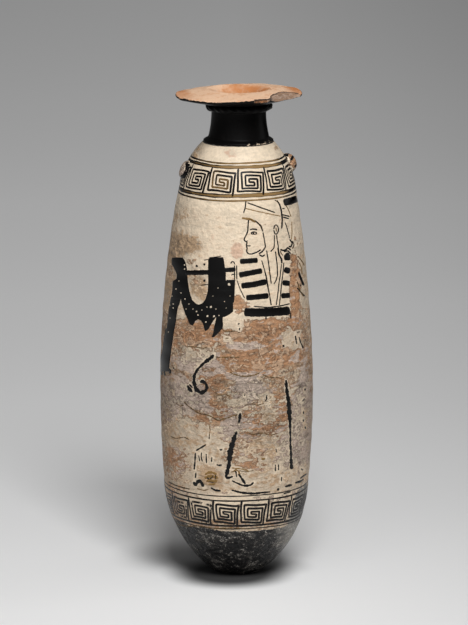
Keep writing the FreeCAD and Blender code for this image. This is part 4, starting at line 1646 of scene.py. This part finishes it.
class ALABASTRON_OT_figure(bpy.types.Operator):
    """Painted figure: cloak, striped garment, cap and face"""

    bl_idname = "alabastron.figure"
    bl_label = "Figure"

    def execute(self, context):
        wall = the_wall()
        cloak = Brushwork(wall, 21)
        for number, (first, second) in enumerate(CLOAK_DOWN):
            cloak.fill(first, second, 1, OVERLAP_RISE * number)
        for first, second in CLOAK_ACROSS:
            cloak.fill(first, second, 0, FOLD_RISE)
        for width, path in CLOAK_BARS:
            cloak.stroke(path, width, rise=BAR_RISE, blunt=1.6)
        for width, path in CLOAK_EDGES + CLOAK_FRAYS:
            cloak.stroke(path, width, rise=EDGE_RISE)
        for x, y, radius in GLAZE_DOTS:
            cloak.dot(x, y, radius)
        cloak.make("cloak")
        dots = Brushwork(wall, 22)
        for x, y, radius in CREAM_DOTS:
            dots.dot(x, y, radius, DOT_RISE)
        dots.make("cloak_dots", cream_paint)
        stripes = Brushwork(wall, 23)
        for width, path in STRIPES:
            stripes.stroke(path, width, blunt=1.5, waver=0.06)
        stripes.make("garment_stripes")
        lines = Brushwork(wall, 24)
        for width, tone, loss, path in DRESS_LINES + CAP_LINES + RIGHT_LINES:
            lines.stroke(path, width * LINE_WEIGHT, tone, loss)
        lines.make("dress_lines")
        face = Brushwork(wall, 25)
        for width, tone, shares in FACE_STROKES:
            face.stroke(face_path(shares), width * LINE_WEIGHT, tone, softness=0.6)
        x, y = face_path(IRIS_PLACE)[0]
        face.dot(x, y, IRIS_RADIUS)
        for width, tone, path in HAIR_LINES:
            face.stroke(path, width, tone)
        face.make("face_lines")
        return {"FINISHED"}


class ALABASTRON_OT_worn_strokes(bpy.types.Operator):
    """What is left of the lower picture, the line it stands on, and painted shadow lines along the
    flakes' edges
    """

    bl_idname = "alabastron.worn_strokes"
    bl_label = "Worn strokes"

    def execute(self, context):
        wall = the_wall()
        lower = Brushwork(wall, 31)
        for width, tone, loss, path in LOWER_STROKES:
            lower.stroke(path, np.multiply(width, LOWER_WEIGHT), tone, loss, waver=0.3)
        lower.make("lower_strokes")
        edges = Brushwork(wall, 33)
        for width, tone, loss, path in GOLDEN_STROKES:
            edges.stroke(path, width, tone, loss, waver=0.4)
        # Painted shadow lines at the flakes' edges, in dark olive-brown glaze.
        for width, path in FLAKE_SHADOW_LINES:
            edges.stroke(path, width, 0.5, 0.3, softness=0.5, waver=0.5)
        edges.make("flake_edges")
        ground = Brushwork(wall, 32)
        for width, tone, loss, path in GROUND_LINE:
            ground.stroke(path, width, tone, loss, waver=0.25)
        ground.make("ground_line")
        return {"FINISHED"}


# Stage

FLOOR_RADIUS = 4.0
FLOOR_CORNERS = 96
CAMERA_REACH = 20.0

# Distance from the axis in metres, the floor's painted brightness there over its own colour's, and
# the painted glow that the camera alone sees there: painted falloff of light behind the vessel
FLOOR_SHADES = (
    (0.0, 1.05, 0.0),
    (0.1, 1.04, 0.0),
    (0.27, 1.01, 0.03),
    (0.48, 0.88, 0.13),
    (0.73, 0.76, 0.19),
    (1.06, 0.64, 0.21),
    (1.5, 0.52, 0.21),
)
# Painted falloff of the floor's brightness for each millimetre to the camera's right, and to a side
FLOOR_PAINTED_FALLOFF = 0.0006
FLOOR_PAINTED_VIGNETTE = 0.0008

# Painted shadow on the floor under the vessel's overhang, behind it on the left and close on the
# right:
# middle, radii between which it fades, and depth
PAINTED_CONTACT_SHADOWS = (
    ((-3.0, -5.0, 0.0), 11.0, 25.0, 0.95),
    ((-12.0, 20.0, 0.0), 6.0, 31.0, 0.55),
    ((14.0, 1.0, 0.0), 3.0, 15.0, 0.35),
)


def floor_finish(colours, right):
    """Floor whose grey deepens with the distance from the vessel and to the sides as painted
    falloff of light, lifted far off by a painted glow that only camera and glossy rays see, and
    darkened under the vessel by painted shadow.
    """
    sh = Shader("studio_floor")
    spread = sh.vector("LENGTH", {0: sh.mm}, "Value")

    def by_distance(column):
        """Straight runs between the table's values: each run adds its own change."""
        total = FLOOR_SHADES[0][column]
        for here, there in zip(FLOOR_SHADES, FLOOR_SHADES[1:]):
            sockets = {
                "Value": spread,
                "From Min": here[0] * PER_METRE,
                "From Max": there[0] * PER_METRE,
                "To Max": there[column] - here[column],
            }
            run = sh.node("ShaderNodeMapRange", {"interpolation_type": "LINEAR"}, sockets)
            total = total + run
        return total

    across = sh.vector("DOT_PRODUCT", {0: sh.mm, 1: right}, "Value")
    aside = 1 - across * FLOOR_PAINTED_FALLOFF - across.size() * FLOOR_PAINTED_VIGNETTE
    shade = 1.0
    for place, inner, outer, depth in PAINTED_CONTACT_SHADOWS:
        away = sh.vector("DISTANCE", {0: sh.mm, 1: place}, "Value")
        shade = shade * (1 - (1 - sh.ease(away, inner, outer)) * depth)
    # Painted glow: the floor gives off light for camera and glossy rays only.
    seen = sh.node("ShaderNodeLightPath", output="Is Camera Ray")
    mirrored = sh.node("ShaderNodeLightPath", output="Is Glossy Ray")
    glow = by_distance(2) * aside * seen.highest(mirrored)
    return sh.finish(
        Base_Color=sh.bright(colours.floor, by_distance(1) * aside * shade),
        Roughness=0.9,
        Emission_Color=sh.bright((1.0, 1.0, 1.0), glow),
        Emission_Strength=1.0,
    )


def look_at(scene, name, data, place, target):
    """A lamp or camera at a place, turned to its target."""
    thing = bpy.data.objects.new(name, data)
    scene.collection.objects.link(thing)
    way = Vector(target) - Vector(place)
    turn = way.to_track_quat("-Z", "Y").to_matrix().to_4x4()
    thing.matrix_world = Matrix.Translation(Vector(place)) @ turn
    return thing


def round_place(azimuth, elevation, distance, height):
    """A place at an azimuth and elevation in degrees from a height on the axis, in metres."""
    turn, rise = math.radians(azimuth), math.radians(elevation)
    return Vector(
        (
            distance * math.cos(rise) * math.sin(turn),
            -distance * math.cos(rise) * math.cos(turn),
            distance * math.sin(rise) + height,
        )
    )


# Lamps: name, azimuth from the camera, elevation, distance, width, height and power
LAMPS = (
    ("key_lamp", 10.5, 48.0, 1.0, 0.4, 0.4, "key_power"),
    ("fill_lamp", -25.0, 30.0, 1.0, 0.6, 0.5, "fill_power"),
    ("top_lamp", 24.0, 76.0, 1.0, 0.6, 0.6, "top_power"),
    ("side_lamp", 104.0, 10.0, 0.9, 0.2, 0.6, "side_power"),
)


class ALABASTRON_OT_stage(bpy.types.Operator):
    """Floor, sky, lamps and camera"""

    bl_idname = "alabastron.stage"
    bl_label = "Stage"

    def execute(self, context):
        scene = context.scene
        stage = scene.alabastron_stage
        wall = the_wall()
        self.make_floor(scene, wall)
        self.make_sky(scene, stage)
        for name, azimuth, elevation, distance, width, height, power in LAMPS:
            lamp = bpy.data.lights.new(name, "AREA")
            lamp.shape = "RECTANGLE"
            lamp.size = width
            lamp.size_y = height
            lamp.energy = getattr(stage, power)
            turn = azimuth + math.degrees(stage.azimuth)
            place = round_place(turn, elevation, distance, stage.aim)
            look_at(scene, name, lamp, place, (0, 0, stage.aim))
        self.make_camera(scene, stage, wall)
        scene.view_settings.view_transform = "Standard"
        return {"FINISHED"}

    def make_floor(self, scene, wall):
        turn = np.linspace(0, 2 * math.pi, FLOOR_CORNERS, endpoint=False)
        rim = np.stack([np.cos(turn), np.sin(turn), 0 * turn], axis=1)
        points = np.concatenate([rim * FLOOR_RADIUS * PER_METRE, np.zeros((1, 3))])
        faces = [fan_faces(0, FLOOR_CORNERS, FLOOR_CORNERS, True)]
        finish = floor_finish(scene.alabastron_colours, tuple(wall.right))
        floor = make_piece("studio_floor", points, faces, finish)

    def make_sky(self, scene, stage):
        scene.world = bpy.data.worlds.new("sky")
        scene.world.use_nodes = True
        sky = scene.world.node_tree.nodes["Background"]
        sky.inputs["Color"].default_value = (1.0, 1.0, 1.0, 1.0)
        sky.inputs["Strength"].default_value = stage.sky

    def make_camera(self, scene, stage, wall):
        """The camera looks along the wall's back direction at the axis, both moved to the
        left so that the axis falls on its own pixel."""
        lens = bpy.data.cameras.new("camera")
        lens.sensor_fit = "VERTICAL"
        lens.sensor_width = SENSOR
        lens.sensor_height = SENSOR
        lens.lens = FOCAL_PIXELS / FRAME_HEIGHT * SENSOR
        lens.clip_end = CAMERA_REACH
        aside = (FRAME_WIDTH / 2 - AXIS_PIXEL) * wall.distance / FOCAL_PIXELS * MM
        target = Vector(wall.aim * MM) + Vector(wall.right) * aside
        place = target + Vector(wall.back) * stage.distance
        scene.camera = look_at(scene, "camera", lens, place, target)


OPERATORS = (
    ALABASTRON_OT_body,
    ALABASTRON_OT_mouth,
    ALABASTRON_OT_bands,
    ALABASTRON_OT_figure,
    ALABASTRON_OT_worn_strokes,
    ALABASTRON_OT_stage,
)


class ALABASTRON_PT_panel(bpy.types.Panel):
    """Steps that build the vessel, in order"""

    bl_idname = "ALABASTRON_PT_panel"
    bl_label = "Alabastron"
    bl_space_type = "VIEW_3D"
    bl_region_type = "UI"
    bl_category = "Alabastron"

    def draw(self, context):
        for operator in OPERATORS:
            self.layout.operator(operator.bl_idname)


GROUPS = (AlabastronSizes, AlabastronColours, AlabastronStage)
CLASSES = GROUPS + OPERATORS + (ALABASTRON_PT_panel,)


def register():
    for kind in CLASSES:
        bpy.utils.register_class(kind)
    scene = bpy.types.Scene
    scene.alabastron_sizes = bpy.props.PointerProperty(type=AlabastronSizes)
    scene.alabastron_colours = bpy.props.PointerProperty(type=AlabastronColours)
    scene.alabastron_stage = bpy.props.PointerProperty(type=AlabastronStage)


def unregister():
    del bpy.types.Scene.alabastron_stage
    del bpy.types.Scene.alabastron_colours
    del bpy.types.Scene.alabastron_sizes
    for kind in reversed(CLASSES):
        bpy.utils.unregister_class(kind)


def main():
    register()
    bpy.ops.alabastron.body()
    bpy.ops.alabastron.mouth()
    bpy.ops.alabastron.bands()
    bpy.ops.alabastron.figure()
    bpy.ops.alabastron.worn_strokes()
    bpy.ops.alabastron.stage()


if __name__ == "__main__":
    main()
